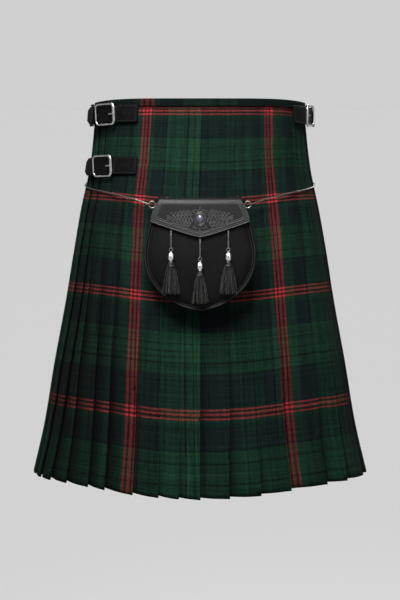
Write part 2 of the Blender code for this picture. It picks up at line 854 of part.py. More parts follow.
def make_belt(leather, metal):
    """Chains from the sporran's rings round the hips to a leather strap over the back."""
    first = CHAIN_ROUTE[0][0]
    last = CHAIN_ROUTE[-1][0]
    steps = round((last - first) / CHAIN_POINT_EVERY)
    up = Vector((0, 0, 1))
    for name, side in (("right", -1), ("left", 1)):
        turns = [between(first, last, index / steps) for index in range(steps + 1)]
        ring = ring_place()
        hook = ring.x + RING_RADIUS + RING_WIRE + HOOK_CLEAR
        points = [on_sporran(side * hook, ring.y + 1.5, RING_OUT)]
        points += [chain_point(side, turn) for turn in turns]
        tube(f"chain_{name}", points, CHAIN_RADIUS, 6, metal, up)
        middle_turn = side * between(last, BACK_STRAP_FROM, 0.5)
        share = BACK_STRAP_DROP / LENGTH
        centre = on_cloth(middle_turn, share, BACK_RING_WIRE + LYING_CLEAR)
        along = (on_cloth(middle_turn + 2, share, 0) - on_cloth(middle_turn - 2, share, 0)).normalized()
        slope = on_cloth(middle_turn, share - 0.02, 0) - on_cloth(middle_turn, share + 0.02, 0)
        slope.normalize()
        out = along.cross(slope)
        points = ring_points(centre, along, slope, (BACK_RING_RADIUS, BACK_RING_RADIUS), 12)
        tube(f"back_ring_{name}", points, BACK_RING_WIRE, 6, metal, out, closed=True)
    rings = []
    steps = 12
    out = BACK_STRAP_THICK / 2 + LYING_CLEAR
    for index in range(steps + 1):
        turn = between(BACK_STRAP_FROM, 360 - BACK_STRAP_FROM, index / steps)
        ring = []
        for level, side in ((1, 1), (-1, 1), (-1, -1), (1, -1)):
            share = (BACK_STRAP_DROP + side * BACK_STRAP_WIDE / 2) / LENGTH
            ring.append(on_cloth(turn, share, out + level * BACK_STRAP_THICK / 2))
        rings.append(ring)
    loft("back_strap", rings, leather)


# Tassels


def make_strands(name, across, head_top, leather):
    """A tassel's head with its strands drawn down out of its lower face."""
    bm = bmesh.new()
    bmesh.ops.create_grid(bm, x_segments=STRAND_ROWS, y_segments=STRAND_ROWS, size=1.0)
    for vert in bm.verts:
        x, y, _ = vert.co
        vert.co.x = x * math.sqrt(1 - y * y / 2)
        vert.co.y = y * math.sqrt(1 - x * x / 2)
        vert.co *= TASSEL_HEAD_HALF
    roots = list(bm.faces)
    copied = bmesh.ops.extrude_face_region(bm, geom=roots)["geom"]
    lid = [item for item in copied if isinstance(item, bmesh.types.BMVert)]
    bmesh.ops.translate(bm, verts=lid, vec=(0, 0, TASSEL_HEAD_HIGH))
    bmesh.ops.scale(bm, verts=lid, vec=(0.55, 0.55, 1))
    lower = [face for face in bm.faces if all(vert.co.z < 1e-6 for vert in face.verts)]
    bmesh.ops.inset_individual(bm, faces=lower, thickness=0.18)
    for index, root in enumerate(lower):
        centre = root.calc_center_median()
        reach = Vector((centre.x * STRAND_SPREAD, centre.y * STRAND_SPREAD_OUT, 0))
        sway = Vector((math.sin(index * 2.3), 0.5 * math.cos(index * 1.7), 0))
        long = STRAND_LONG + 1.5 * math.sin(index * 4.1)
        face = root
        for share in (0.45, 1.0):
            made = bmesh.ops.extrude_discrete_faces(bm, faces=[face])["faces"]
            face = made[0]
            place = centre + (reach - centre) * share**0.8 + sway * share
            place.z = -long * share
            bmesh.ops.translate(bm, verts=face.verts, vec=place - face.calc_center_median())
    place, one, two, three = sporran_axes()
    base = on_sporran(across, head_top - TASSEL_HEAD_HIGH, TASSEL_OUT)
    turn = Matrix((one, -three, two)).transposed().to_4x4()
    bm.transform(Matrix.Translation(base) @ turn @ Matrix.Scale(MM, 4))
    return make_object(name, bm, leather)


def make_tassels(leather, metal):
    """Three tassels on short chains in front of the pouch."""
    _, across_way, up, out = sporran_axes()
    gap = SEAM / MM
    for name, across, edge_drop, ring_drop in TASSELS:
        fall = FLAP_SIDE_FALL * (abs(across) / FLAP_HALF_SIDE) ** 2
        behind = FLAP_FRONT - fall - FLAP_THICK / 2 - gap - TASSEL_CHAIN_RADIUS
        ring_top = -ring_drop + TASSEL_RING_RADIUS + TASSEL_RING_WIRE + gap
        points = (
            on_sporran(across, -edge_drop + TASSEL_CHAIN_UNDER, behind),
            on_sporran(across, -edge_drop - 1.5, behind),
            on_sporran(across, ring_top, TASSEL_OUT),
        )
        radius = TASSEL_CHAIN_RADIUS * MM
        tube(f"tassel_chain_{name}", points, radius, 6, metal, across_way)
        centre = on_sporran(across, -ring_drop, TASSEL_OUT)
        radius = TASSEL_RING_RADIUS * MM
        ring = ring_points(centre, across_way, up, (radius, radius), 10)
        tube(f"tassel_ring_{name}", ring, TASSEL_RING_WIRE * MM, 6, metal, out, closed=True)
        bead_up = -ring_drop - TASSEL_RING_RADIUS - TASSEL_RING_WIRE - 0.3 - BEAD_HALF[1]
        bm = bmesh.new()
        bmesh.ops.create_uvsphere(bm, u_segments=10, v_segments=7, radius=1)
        bmesh.ops.scale(bm, verts=bm.verts, vec=(BEAD_HALF[0], BEAD_HALF[0], BEAD_HALF[1]))
        turn = Matrix((across_way, -out, up)).transposed().to_4x4()
        place = Matrix.Translation(on_sporran(across, bead_up, TASSEL_OUT))
        bm.transform(place @ turn @ Matrix.Scale(MM, 4))
        make_object(f"tassel_bead_{name}", bm, metal, 60)
        make_strands(f"tassel_{name}", across, bead_up - BEAD_HALF[1] - 0.3, leather)


def main():
    clear_scene()
    cloth = finish("tartan_wool", (0.010, 0.035, 0.022), 0.9)
    leather = finish("black_leather", (0.010, 0.010, 0.011), 0.45)
    metal = finish("silver_metal", (0.62, 0.61, 0.58), 0.28, 1.0)
    stone = finish("dark_stone", (0.06, 0.07, 0.12), 0.15)
    make_cloth(cloth)
    make_waistband(cloth)
    for strap in STRAPS:
        make_strap(strap, leather, metal)
    make_pouch(leather)
    make_flap(leather)
    make_stone(metal, stone)
    make_loops(leather, metal)
    make_belt(leather, metal)
    make_tassels(leather, metal)


main()
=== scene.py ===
"""A worn tartan kilt with its straps and buckles, and a leather sporran on its chain."""

import math
from collections import namedtuple
from functools import lru_cache

import bmesh
import bpy
from mathutils import Matrix, Vector


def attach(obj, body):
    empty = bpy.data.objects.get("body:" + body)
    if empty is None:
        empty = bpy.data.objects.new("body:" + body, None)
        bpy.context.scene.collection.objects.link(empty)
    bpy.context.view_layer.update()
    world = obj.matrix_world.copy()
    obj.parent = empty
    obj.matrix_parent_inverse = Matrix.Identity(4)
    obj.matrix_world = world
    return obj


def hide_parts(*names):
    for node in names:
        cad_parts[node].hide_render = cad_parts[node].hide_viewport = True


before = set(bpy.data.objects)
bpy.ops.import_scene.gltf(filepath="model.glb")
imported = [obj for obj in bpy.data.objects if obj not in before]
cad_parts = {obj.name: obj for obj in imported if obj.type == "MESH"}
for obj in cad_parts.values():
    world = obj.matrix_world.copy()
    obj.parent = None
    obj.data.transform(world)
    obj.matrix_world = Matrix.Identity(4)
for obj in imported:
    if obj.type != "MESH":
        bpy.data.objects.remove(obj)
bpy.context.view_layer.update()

MM = 0.001
UP = Vector((0, 0, 1))
IN_MM = Matrix.Diagonal((MM, MM, MM, 1))
WHOLE_TURN = 2 * math.pi
SIDES = (("right", -1), ("left", 1))
# Air between two pieces that lie on each other
CLEAR = 0.0007

# The kilt's form, as in the part: length, cloth, outline as drop and half width
LENGTH = 0.610
WALL = 0.0016
OUTLINE = (
    (0.000, 0.1710),
    (0.043, 0.1745),
    (0.108, 0.1825),
    (0.174, 0.1972),
    (0.241, 0.2094),
    (0.325, 0.2236),
    (0.426, 0.2431),
    (0.528, 0.2611),
    (0.610, 0.2807),
)
DEPTH_AT_WAIST = 0.735
DEPTH_AT_HEM = 0.755
FRONT_RISE = 0.0064
BACK_RISE = 0.0030
HEM_LIFT = 0.009
HEM_DIP = 0.003

# Knife pleats, as in the part
APRON_EDGE = -61.0
FIRST_PLEAT = 76.0
PLEATS_AFTER_FIRST = 22
FOLDED_UNDER = 4.0
LAYER_AT_WAIST = 0.0021
LAYER_AT_HEM = 0.0030
PLEAT_NODES = (
    ("pleats_left_hip", 4),
    ("pleats_left_back", 4),
    ("pleats_back_left", 3),
    ("pleats_back_right", 3),
    ("pleats_right_back", 4),
    ("pleats_right_hip", 4),
)
UNDER_APRON_IN = 0.0030
UNDER_APRON_END = 52.0
UNDER_APRON_SHORT = 0.006

# Waistband: its height and wall, where it starts, the turn it covers
BAND_HIGH = 0.010
BAND_WALL = 0.0012
BAND_FROM = -60.0
BAND_ROUND = 358.8
# Its tartan: turn of a red group, start down the repeat, degrees and metres of one repeat
BAND_GROUP = -28.9
BAND_START = -0.06
BAND_REPEAT_TURN = 112.0
BAND_REPEAT_LONG = 0.14
# The sewn band keeps as much light off itself as cloth half way into a fold
BAND_SHADE = 0.5

# Pleats of the front: share where each opens, turn there, turn at the hem, strength of its shadow
FRONT_FOLDS = (
    (0.30, -57.3, -50.7, 1.0),
    (0.34, -48.0, -40.0, 1.0),
    (0.43, -38.9, -33.0, 1.0),
    (0.48, -25.7, -22.3, 1.0),
    (0.72, -14.9, -13.6, 0.8),
    (0.82, -7.5, -6.9, 0.8),
    (0.55, 0.0, 0.0, 0.9),
    (0.64, 11.4, 9.5, 0.8),
    (0.80, 21.9, 19.9, 0.8),
    (0.52, 31.9, 31.2, 0.25),
    (0.60, 51.0, 46.9, 0.8),
    (0.78, 61.1, 58.2, 0.8),
)
FRONT_STEP = 0.0046
STEP_OPENS_OVER = 0.30

# Cloth detail: rows down the length, points on a fold's round edge, points across a panel
CLOTH_ROWS = 72
EDGE_POINTS = 5
PANEL_POINTS = 8
# How much light the close pleats of the sides and the back keep off each other
PACKED = 0.40
# Turn from which they do so, towards the wearer's right and left, and over how many degrees it sets in
PACKED_FROM = (30, 58)
PACKED_OVER = 30

# Tartan: share of the length, and turn of the red group on each side of the front there
LEFT_GROUP = ((0.03, -28.9), (0.23, -29.6), (0.50, -27.7), (0.80, -25.1), (1.0, -24.0))
RIGHT_GROUP = ((0.03, 38.6), (0.26, 35.9), (0.50, 34.8), (0.80, 33.1), (1.0, 33.1))
# Share of the length and number of repeats down the cloth: the red groups lie on whole numbers
WEFT_ROWS = ((-0.05, -0.335), (0.0275, 0.0), (0.2588, 1.0), (0.4989, 2.0), (0.7925, 3.0), (1.05, 3.825))
# Share of the length: how much higher the rows lie over the hips, as a share
WEFT_LIFT = ((0.03, 0.0), (0.25, 0.017), (0.50, 0.012), (0.80, 0.0), (1.0, 0.0))

# Colours of the yarns
GREEN = (0.0026, 0.0126, 0.0068)
BRIGHT_GREEN = (0.0038, 0.0166, 0.0086)
SOFT_GREEN = (0.0021, 0.0100, 0.0055)
DEEP_GREEN = (0.0017, 0.0073, 0.0045)
NAVY = (0.0016, 0.0033, 0.0040)
SOFT_NAVY = (0.0015, 0.0042, 0.0038)
GAP = (0.0075, 0.0019, 0.0019)
BLACK = (0.0006, 0.0010, 0.0009)
RED = (0.120, 0.0140, 0.0138)
WARP_RED = (0.076, 0.0080, 0.0088)
CROSSING_RED = (0.200, 0.0115, 0.0185)

# Twill slants and yarn lines in one repeat, and how far a thread strays, as a share of a repeat
TWILL_ACROSS = 132.0
TWILL_DOWN = 92.0
WARP_LINES = 44.0
WEFT_LINES = 40.0
STRAY = 0.011

# Yarns across the cloth: where each starts in the repeat, and its colour
WARP_YARNS = (
    (0.000, WARP_RED),
    (0.0086, GAP),
    (0.0206, WARP_RED),
    (0.0374, GREEN),
    (0.070, SOFT_NAVY),
    (0.170, BLACK),
    (0.178, GREEN),
    (0.335, BLACK),
    (0.345, BRIGHT_GREEN),
    (0.390, BLACK),
    (0.398, BRIGHT_GREEN),
    (0.440, BLACK),
    (0.452, SOFT_NAVY),
    (0.545, DEEP_GREEN),
    (0.560, SOFT_NAVY),
    (0.640, DEEP_GREEN),
    (0.700, BLACK),
    (0.709, DEEP_GREEN),
    (0.770, BLACK),
    (0.778, DEEP_GREEN),
    (0.840, BLACK),
    (0.850, SOFT_NAVY),
    (0.910, BLACK),
    (0.918, SOFT_GREEN),
    (0.9626, WARP_RED),
    (0.9794, GAP),
    (0.9914, WARP_RED),
)
WEFT_YARNS = (
    (0.000, RED),
    (0.0095, GAP),
    (0.0285, RED),
    (0.0465, DEEP_GREEN),
    (0.100, NAVY),
    (0.292, BLACK),
    (0.300, GREEN),
    (0.392, BLACK),
    (0.402, GREEN),
    (0.478, BRIGHT_GREEN),
    (0.488, GREEN),
    (0.557, BLACK),
    (0.567, GREEN),
    (0.655, BLACK),
    (0.663, NAVY),
    (0.9535, RED),
    (0.9715, GAP),
    (0.9905, RED),
)

# Straps: drop of the middle, turn added, base out in mm, share of the stand-off, keeper or not
Strap = namedtuple("Strap", "name side drop added base share keeper")
STRAPS = (
    Strap("waist_right", -1, 0.0205, 0.0, 3.8, 1.0, True),
    Strap("hip_right", -1, 0.1030, -1.0, 2.1, 0.75, False),
    Strap("waist_left", 1, 0.0200, 24.0, 3.8, 0.9, True),
)
# Routes of strap and tab: turn, out in mm
BILLET_ROUTE = (
    (34.0, 0.0),
    (40.0, 0.2),
    (46.0, 0.9),
    (51.5, 1.5),
    (57.0, 2.6),
    (62.5, 4.8),
    (68.0, 8.2),
    (72.0, 10.2),
    (75.5, 11.6),
)
TAB_ROUTE = (
    (62.0, 0.0),
    (67.0, 2.0),
    (72.0, 3.4),
    (77.0, 2.9),
    (82.0, 1.6),
    (87.0, 0.5),
    (92.0, 0.0),
    (102.0, 0.0),
    (113.0, 0.0),
)
STRAP_WIDE = 0.028
BILLET_THICK = 0.0026
TAB_THICK = 0.0024
# Buckle frame: size, radii of its bar and its corners, turns between which it lies
FRAME_LONG = 0.044
FRAME_HIGH = 0.036
FRAME_BAR = 0.0019
FRAME_CORNER = 0.0062
FRAME_FROM = 48.0
FRAME_TO = 66.0
# Punched holes: where they are, and their edge as radius and height
HOLE_TURNS = (39.0, 42.8, 68.5)
HOLE_PROFILE = ((0.0, 0.05 * MM), (1.2 * MM, 0.06 * MM), (1.5 * MM, 0.16 * MM), (1.9 * MM, 0.0))
# Stitches: pitch, length and thickness in mm, and slant
STRAP_STITCH = (2.9, 2.0, 0.5, 0.25)
BAND_STITCH = (3.2, 1.9, 0.4, 0.5)
RIM_STITCH = (3.0, 2.0, 0.55, 0.12)
FLAP_STITCH = (2.7, 1.9, 0.62, 0.1)
# How far stitches lie inside a leather band's edge
STITCHES_IN = 0.0022
KEEPER_WIDE = 0.009

# Sporran: its place on the kilt in metres
SPORRAN_DROP = 0.1558
SPORRAN_HIGH = 0.171
SPORRAN_OFF = 0.0044
# Its outline as drop and half width, and its rings as out and share of the outline, in mm
POUCH_OUTLINE = (
    (1.5, 60.0),
    (22.0, 71.0),
    (38.0, 77.5),
    (60.0, 82.8),
    (82.0, 86.2),
    (102.0, 84.4),
    (119.0, 78.6),
    (134.0, 69.5),
    (148.0, 55.5),
    (159.0, 40.0),
    (167.0, 21.0),
    (171.0, 0.0),
)
POUCH_MIDDLE = -85.0
POUCH_RINGS = (
    (3.1, 0.0),
    (3.1, 0.955),
    (4.6, 0.972),
    (8.0, 0.985),
    (16.0, 1.0),
    (22.0, 0.995),
    (25.0, 0.982),
    (25.6, 0.970),
    (26.6, 0.950),
    (28.3, 0.915),
    (30.0, 0.86),
    (31.6, 0.74),
    (33.2, 0.50),
    (34.0, 0.22),
    (34.1, 0.0),
)
FLAP_TOP_PATH = ((3.6, 1.0), (9.0, 2.2), (20.0, 2.6), (30.0, 1.6), (36.0, -1.6), (38.2, -7.0))
FLAP_HALF_TOP = 62.7
FLAP_HALF_SIDE = 76.5
FLAP_SIDE_DROP = 34.5
FLAP_TIP_DROP = 59.0
FLAP_THICK = 3.0
FLAP_FRONT = 38.2
FLAP_SIDE_FALL = 5.4
STONE_DROP = 30.3
# Ornament: drops of the plait and of the upright leaves, and the angle that is upright
PLAIT_DROP = 29.5
LEAF_ABOVE = 14.6
LEAF_BELOW = 46.2
UPRIGHT = 1.5708
# Side rings, and their leather loops that run between two points of across and up
RING_RADIUS = 5.2
RING_WIRE = 1.0
RING_OUT = -1.2
LOOP_FROM = (56.0, 7.0)
LOOP_TO = (69.0, -1.6)
LOOP_WIDE = 9.0

# Links: length, width and wire
HIP_LINK = (0.0042, 0.0027, 0.00055)
TASSEL_LINK = (0.0042, 0.0034, 0.00075)

# Chain belt: turn, drop in metres, out in mm
CHAIN_ROUTE = (
    (30.0, 0.1548, 13.5),
    (36.0, 0.1521, 9.2),
    (43.0, 0.1489, 5.6),
    (52.0, 0.1449, 2.9),
    (64.0, 0.1404, 1.9),
    (77.0, 0.1355, 1.9),
    (90.0, 0.1315, 1.9),
    (104.0, 0.1280, 1.9),
    (118.0, 0.1255, 1.9),
    (131.0, 0.1240, 1.9),
)
# Strap over the back: turn of its rings, how far it runs on past them, its drop and size
BACK_STRAP_FROM = 140.0
BACK_STRAP_OVER = 1.6
BACK_STRAP_DROP = 0.1235
BACK_STRAP_WIDE = 0.020
BACK_STRAP_THICK = 0.0026
BACK_RING_RADIUS = 0.0085

# Tassels: name, across, drop of the flap's edge there, drop of the ring, in mm
TASSELS = (
    ("right", -44.5, 46.0, 77.6),
    ("middle", 0.0, 59.0, 92.2),
    ("left", 43.5, 46.0, 77.6),
)
TASSEL_OUT = 41.6
TASSEL_RING_RADIUS = 2.6
TASSEL_RING_WIRE = 0.75
BEAD_HALF = (4.5, 7.4)
HEAD_HIGH = 7.0
STRANDS = 52
STRAND_LONG = 43.0


# Reading tables and curves


def between(start, end, share):
    return start + (end - start) * share


def spread(start, end, steps):
    """Evenly spaced numbers from start to end."""
    return [between(start, end, index / steps) for index in range(steps + 1)]


def round_angles(count):
    return [WHOLE_TURN * index / count for index in range(count)]


def ramp_of(table, key, column=1):
    """Value of a column at this key, straight between the rows."""
    row = max(0, min(len(table) - 2, sum(entry[0] <= key for entry in table) - 1))
    low = table[row]
    high = table[row + 1]
    return between(low[column], high[column], (key - low[0]) / (high[0] - low[0]))


def read(table, key, column=1):
    """Value of a column at this key, on a smooth curve through the rows."""
    last = len(table) - 1
    row = max(0, min(last - 1, sum(entry[0] <= key for entry in table) - 1))

    def slope(at):
        low = table[max(0, at - 1)]
        high = table[min(last, at + 1)]
        return (high[column] - low[column]) / (high[0] - low[0])

    span = table[row + 1][0] - table[row][0]
    share = min(1.0, max(0.0, (key - table[row][0]) / span))
    start = table[row][column]
    end = table[row + 1][column]
    return (
        start * (2 * share**3 - 3 * share**2 + 1)
        + slope(row) * span * (share**3 - 2 * share**2 + share)
        + end * (3 * share**2 - 2 * share**3)
        + slope(row + 1) * span * (share**3 - share**2)
    )


def along_points(points, count, closed=False):
    """Evenly spaced points on a polyline."""
    line = list(points) + ([points[0]] if closed else [])
    lengths = [0.0]
    for one, other in zip(line, line[1:]):
        lengths.append(lengths[-1] + (other - one).length)
    made = []
    row = 0
    for index in range(count):
        want = lengths[-1] * index / (count if closed else count - 1)
        while row < len(line) - 2 and lengths[row + 1] < want:
            row += 1
        share = (want - lengths[row]) / max(1e-9, lengths[row + 1] - lengths[row])
        made.append(line[row].lerp(line[row + 1], share))
    return made


def circle_route(centre, one, other, radius, count):
    """Points round a circle, or an oval where the two directions differ in length."""
    points = []
    for angle in round_angles(count):
        points.append(centre + (one * math.cos(angle) + other * math.sin(angle)) * radius)
    return points


def length_of(points):
    return sum((other - one).length for one, other in zip(points, points[1:]))


# The cloth's surface


@lru_cache(maxsize=None)
def half_sizes(share):
    """Half width and half depth of the kilt at a share of its length."""
    wide = read(OUTLINE, share * LENGTH)
    return wide, wide * between(DEPTH_AT_WAIST, DEPTH_AT_HEM, share)


def on_cloth(turn, share, out, dip=0.0):
    """A point at this turn and share of the length, so far out from the outline."""
    wide, deep = half_sizes(share)
    angle = math.radians(turn)
    sine = math.sin(angle)
    cosine = math.cos(angle)
    normal = Vector((deep * sine, -wide * cosine, 0)).normalized()
    rise = (FRONT_RISE if cosine > 0 else BACK_RISE) * (1 - sine**6)
    lift = HEM_LIFT * math.sin(2 * angle) ** 2 if cosine > 0 else 0.0
    height = -share * LENGTH + (1 - share) * rise + share * lift - HEM_DIP * dip * share**10
    return Vector((wide * sine, -deep * cosine, height)) + normal * out


def degrees_of(length, share):
    """The turn that a length along the cloth takes, on average."""
    wide, deep = half_sizes(share)
    return math.degrees(2 * length / (wide + deep))


def layer_at(share):
    """Thickness that one layer of a pleat takes."""
    return between(LAYER_AT_WAIST, LAYER_AT_HEM, share)


def ripple(turn, share):
    """Slight unevenness of hanging wool, in metres out from the pressed form."""
    angle = math.radians(turn)
    low = share**2 * (0.9 * math.sin(9 * angle + 5 * share) + 0.7 * math.sin(17 * angle - 4 * share))
    high = 0.25 * math.sin(7 * angle + 23 * share) * math.sin(math.pi * min(1.0, share * 2))
    return (low + high) * MM


# Paths round the body: lists of turn, out, dip and painted shade, deepest in the folds


def turn_over(path, edge, start, end, share, way, dip, shades):
    """The cloth turns over at this edge, from one layer's level in to the next one's."""
    radius = (start - end) / 2
    middle = (start + end) / 2
    for index in range(EDGE_POINTS):
        angle = math.pi * (0.5 - index / (EDGE_POINTS - 1))
        turn = edge + way * degrees_of(radius * (1 - math.cos(angle)), share)
        shade = shades[index >= EDGE_POINTS / 2]
        path.append((turn, middle + radius * math.sin(angle), dip, shade))


def free_edge(path, edge, start, end, share, dip):
    """The fold that shows, a pleat's free edge."""
    turn_over(path, edge, start, end, share, -1, dip, (0.0, 0.8))


def hidden_edge(path, edge, start, end, share):
    """The hidden fold, where the cloth turns back."""
    turn_over(path, edge, start, end, share, 1, 0.2, (1.0, 1.0))


def panel(path, start, end, low, high, dark=1.0, fade=1.25):
    """A panel that comes out from under an edge and lies flat before its own fold."""
    for share in spread(0, 1, PANEL_POINTS - 1):
        along = share**1.5
        rise = math.sin(math.pi / 2 * min(1.0, along * 1.6)) ** 1.3
        # Painted shade, deepest next to the edge the panel comes out from and fading across it
        shade = dark * max(0.0, 1 - along * fade) ** 0.9
        path.append((between(start, end, along), between(low, high, rise), along * 0.9, shade))


def pleat_path(share, edges, previous, ends_inside):
    """Knife pleats with these free edges, from under the edge before them."""
    layer = layer_at(share)
    top = -WALL / 2
    bottom = top - 2 * layer
    start = previous - FOLDED_UNDER + degrees_of(0.0022, share)
    path = [(start, bottom, 0.0, 1.0)]
    for edge in edges:
        panel(path, previous + 0.5, edge - degrees_of(layer, share), bottom, top)
        free_edge(path, edge, top, top - layer, share, 1.0)
        last = edge == edges[-1]
        inner = bottom - UNDER_APRON_IN if ends_inside and last else bottom
        hidden_edge(path, edge - FOLDED_UNDER, top - layer, inner, share)
        previous = edge
    end_level = bottom - UNDER_APRON_IN if ends_inside else bottom
    path.append((edges[-1] - FOLDED_UNDER + degrees_of(0.0019, share), end_level, 0.0, 1.0))
    return path


def front_fold(row, share):
    """Turn of a front pleat's edge at this share of the length, and how far it has opened."""
    opens, turn_there, turn_at_hem = row[:3]
    along = max(0.0, (share - opens) / (1 - opens))
    opened = min(1.0, max(0.0, (share - opens) / STEP_OPENS_OVER)) ** 0.8
    return between(turn_there, turn_at_hem, along), opened


def over_apron_path(share):
    """The front: it comes out from under the last pleat and has shallow pleats of its own."""
    layer = layer_at(share)
    top = -WALL / 2
    bottom = top - 2 * layer
    path = [(APRON_EDGE - FOLDED_UNDER + degrees_of(0.0042, share), bottom, 0.0, 1.0)]
    start = APRON_EDGE + 0.5
    low = bottom
    dark = 1.0
    for row in FRONT_FOLDS:
        edge, opened = front_fold(row, share)
        opened = max(0.02, opened)
        step = FRONT_STEP * opened
        under = 2.6 * opened
        # On the wearer's right the shade reaches nearly over the whole panel, elsewhere over a third
        fade = 1.15 if row[1] < -20 else 3.0
        panel(path, start, edge - degrees_of(step / 4, share), low, top, dark, fade)
        free_edge(path, edge, top, top - step / 2, share, opened)
        hidden_edge(path, edge - under, top - step / 2, top - step, share)
        start = edge + 0.12
        low = top - step
        dark = opened * row[3]
    panel(path, start, FIRST_PLEAT - degrees_of(layer, share), low, top, dark, 4.0)
    free_edge(path, FIRST_PLEAT, top, top - layer, share, 1.0)
    hidden_edge(path, FIRST_PLEAT - FOLDED_UNDER, top - layer, bottom, share)
    path.append((FIRST_PLEAT - FOLDED_UNDER + degrees_of(0.0019, share), bottom, 0.0, 1.0))
    return path


def under_apron_path(share):
    """The plain panel inside the front."""
    level = -WALL / 2 - 2 * layer_at(share) - UNDER_APRON_IN
    start = APRON_EDGE - FOLDED_UNDER + degrees_of(0.0025, share)
    return [(turn, level, 0.0, 0.0) for turn in spread(start, UNDER_APRON_END, 48)]


# Where the tartan lies


def warp_repeat(turn, share):
    """Repeats of the tartan round the body: the red groups lie on whole numbers."""
    left = ramp_of(LEFT_GROUP, share)
    right = ramp_of(RIGHT_GROUP, share)
    green = between(13.0, 6.0, share)
    knots = (
        (-174.0, -2.0),
        (-101.0, -1.0),
        (left - 20, -0.16),
        (left - 3, -0.045),
        (left, 0.0),
        (right, 1.0),
        (right + 3, 1.045),
        (right + green, 1.075),
        (113.0, 2.0),
        (186.0, 3.0),
        (259.0, 4.0),
        (right + 360, 6.0),
    )
    return ramp_of(knots, turn)


def weft_repeat(turn, share):
    """Repeats of the tartan down the length; the second red group lies higher at the hips."""
    lift = ramp_of(WEFT_LIFT, share) * math.sin(math.radians(turn)) ** 2
    return ramp_of(WEFT_ROWS, share + lift)


# Making pieces


def shell(columns, rows, place, wrap=False, ring=False):
    """A sheet of columns by rows faces, with each corner put where the piece's own form has it."""
    bm = bmesh.new()
    # Painted shade per corner, read by the tartan finish
    bm.verts.layers.float.new("fold")
    bm.loops.layers.uv.new("repeat")
    bmesh.ops.create_grid(bm, x_segments=columns, y_segments=rows, size=1)
    spots = {}
    for vert in bm.verts:
        column = round((vert.co.x + 1) / 2 * columns)
        row = round((vert.co.y + 1) / 2 * rows)
        spots[vert] = (column % columns if wrap else column, row % rows if ring else row)
    for vert, spot in spots.items():
        vert.co = place(*spot)
    if wrap or ring:
        bmesh.ops.remove_doubles(bm, verts=bm.verts, dist=1e-7)
        bmesh.ops.dissolve_degenerate(bm, edges=bm.edges, dist=1e-8)
        bmesh.ops.recalc_face_normals(bm, faces=bm.faces)
    return bm, spots


def piece(name, bm, finish, slot, *nodes, sharp=40):
    """One object at the origin that rides on the part and stands for the named solids."""
    mesh = bpy.data.meshes.new(name)
    bm.to_mesh(mesh)
    bm.free()
    item = bpy.data.objects.new(name, mesh)
    bpy.context.scene.collection.objects.link(item)
    mesh.materials.append(finish)
    mesh.shade_smooth()
    if sharp:
        mesh.set_sharp_from_angle(angle=math.radians(sharp))
    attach(item, "root")
    if nodes:
        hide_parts(*nodes)
    return item


def thicken(item, thick, rounding=0.0):
    """A sheet gets its wall, and round edges where it is leather."""
    wall = item.modifiers.new("wall", "SOLIDIFY")
    wall.thickness = thick
    wall.offset = 0
    if rounding:
        edge = item.modifiers.new("edge", "BEVEL")
        edge.width = rounding
        edge.segments = 2
        edge.limit_method = "ANGLE"
        edge.angle_limit = math.radians(50)
        edge.harden_normals = True


def add_mesh(bm, mesh, place):
    """Adds a copy of a small mesh at this place."""
    before = len(bm.verts)
    bm.from_mesh(mesh)
    bm.verts.ensure_lookup_table()
    bmesh.ops.transform(bm, matrix=place, verts=bm.verts[before:])


def add_form(bm, made, place):
    """Moves a form that is made on its own into a piece, at this place."""
    mesh = bpy.data.meshes.new("form")
    made.to_mesh(mesh)
    made.free()
    add_mesh(bm, mesh, place)
    bpy.data.meshes.remove(mesh)


def axes_at(point, along, out):
    """Place whose X runs along and whose Z points out."""
    along = along.normalized()
    across = out.cross(along).normalized()
    out = along.cross(across)
    place = Matrix((along, across, out)).transposed().to_4x4()
    place.translation = point
    return place


def bar(bm, route, out, wide, high=None, sides=8, closed=False):
    """A round or oval bar along a route; wide and high are its radii, or functions of the share."""
    count = len(route)
    made = bmesh.new()
    places = []
    for index, point in enumerate(route):
        after = route[(index + 1) % count] if closed else route[min(count - 1, index + 1)]
        before = route[index - 1] if closed else route[max(0, index - 1)]
        share = index / count if closed else index / (count - 1)
        half = wide(share) if callable(wide) else wide
        tall = half if high is None else high(share) if callable(high) else high
        place = axes_at(point, after - before, out)
        scale = Matrix.Diagonal((1, half, tall, 1))
        places.append(place @ scale @ Matrix.Rotation(math.pi / 2, 4, "Y"))
    bmesh.ops.create_circle(made, segments=sides, radius=1, matrix=places[0])
    first = list(made.edges)
    edges = first
    for before, after in zip(places, places[1:]):
        grown = bmesh.ops.extrude_edge_only(made, edges=edges)["geom"]
        edges = [item for item in grown if isinstance(item, bmesh.types.BMEdge)]
        verts = [item for item in grown if isinstance(item, bmesh.types.BMVert)]
        bmesh.ops.transform(made, matrix=after @ before.inverted(), verts=verts)
    if closed:
        bmesh.ops.bridge_loops(made, edges=first + edges)
    else:
        bmesh.ops.contextual_create(made, geom=first)
        bmesh.ops.contextual_create(made, geom=edges)
    bmesh.ops.recalc_face_normals(made, faces=made.faces)
    add_form(bm, made, Matrix())


def small_mesh(name, make, *numbers):
    """A mesh that is copied many times, such as one stitch or one link."""
    bm = bmesh.new()
    make(bm, *numbers)
    bmesh.ops.recalc_face_normals(bm, faces=bm.faces)
    mesh = bpy.data.meshes.new(name)
    bm.to_mesh(mesh)
    bm.free()
    return mesh


def one_stitch(bm, long, thick):
    bmesh.ops.create_uvsphere(bm, u_segments=6, v_segments=4, radius=1)
    bmesh.ops.rotate(bm, verts=bm.verts, matrix=Matrix.Rotation(math.pi / 2, 3, "Y"))
    bmesh.ops.scale(bm, verts=bm.verts, vec=(long / 2, thick / 2, thick / 2))


def spin_round(bm, steps):
    """Turns all that is drawn so far once round the Z axis."""
    geom = list(bm.verts) + list(bm.edges)
    bmesh.ops.spin(bm, geom=geom, cent=(0, 0, 0), axis=UP, angle=WHOLE_TURN, steps=steps, use_merge=True)


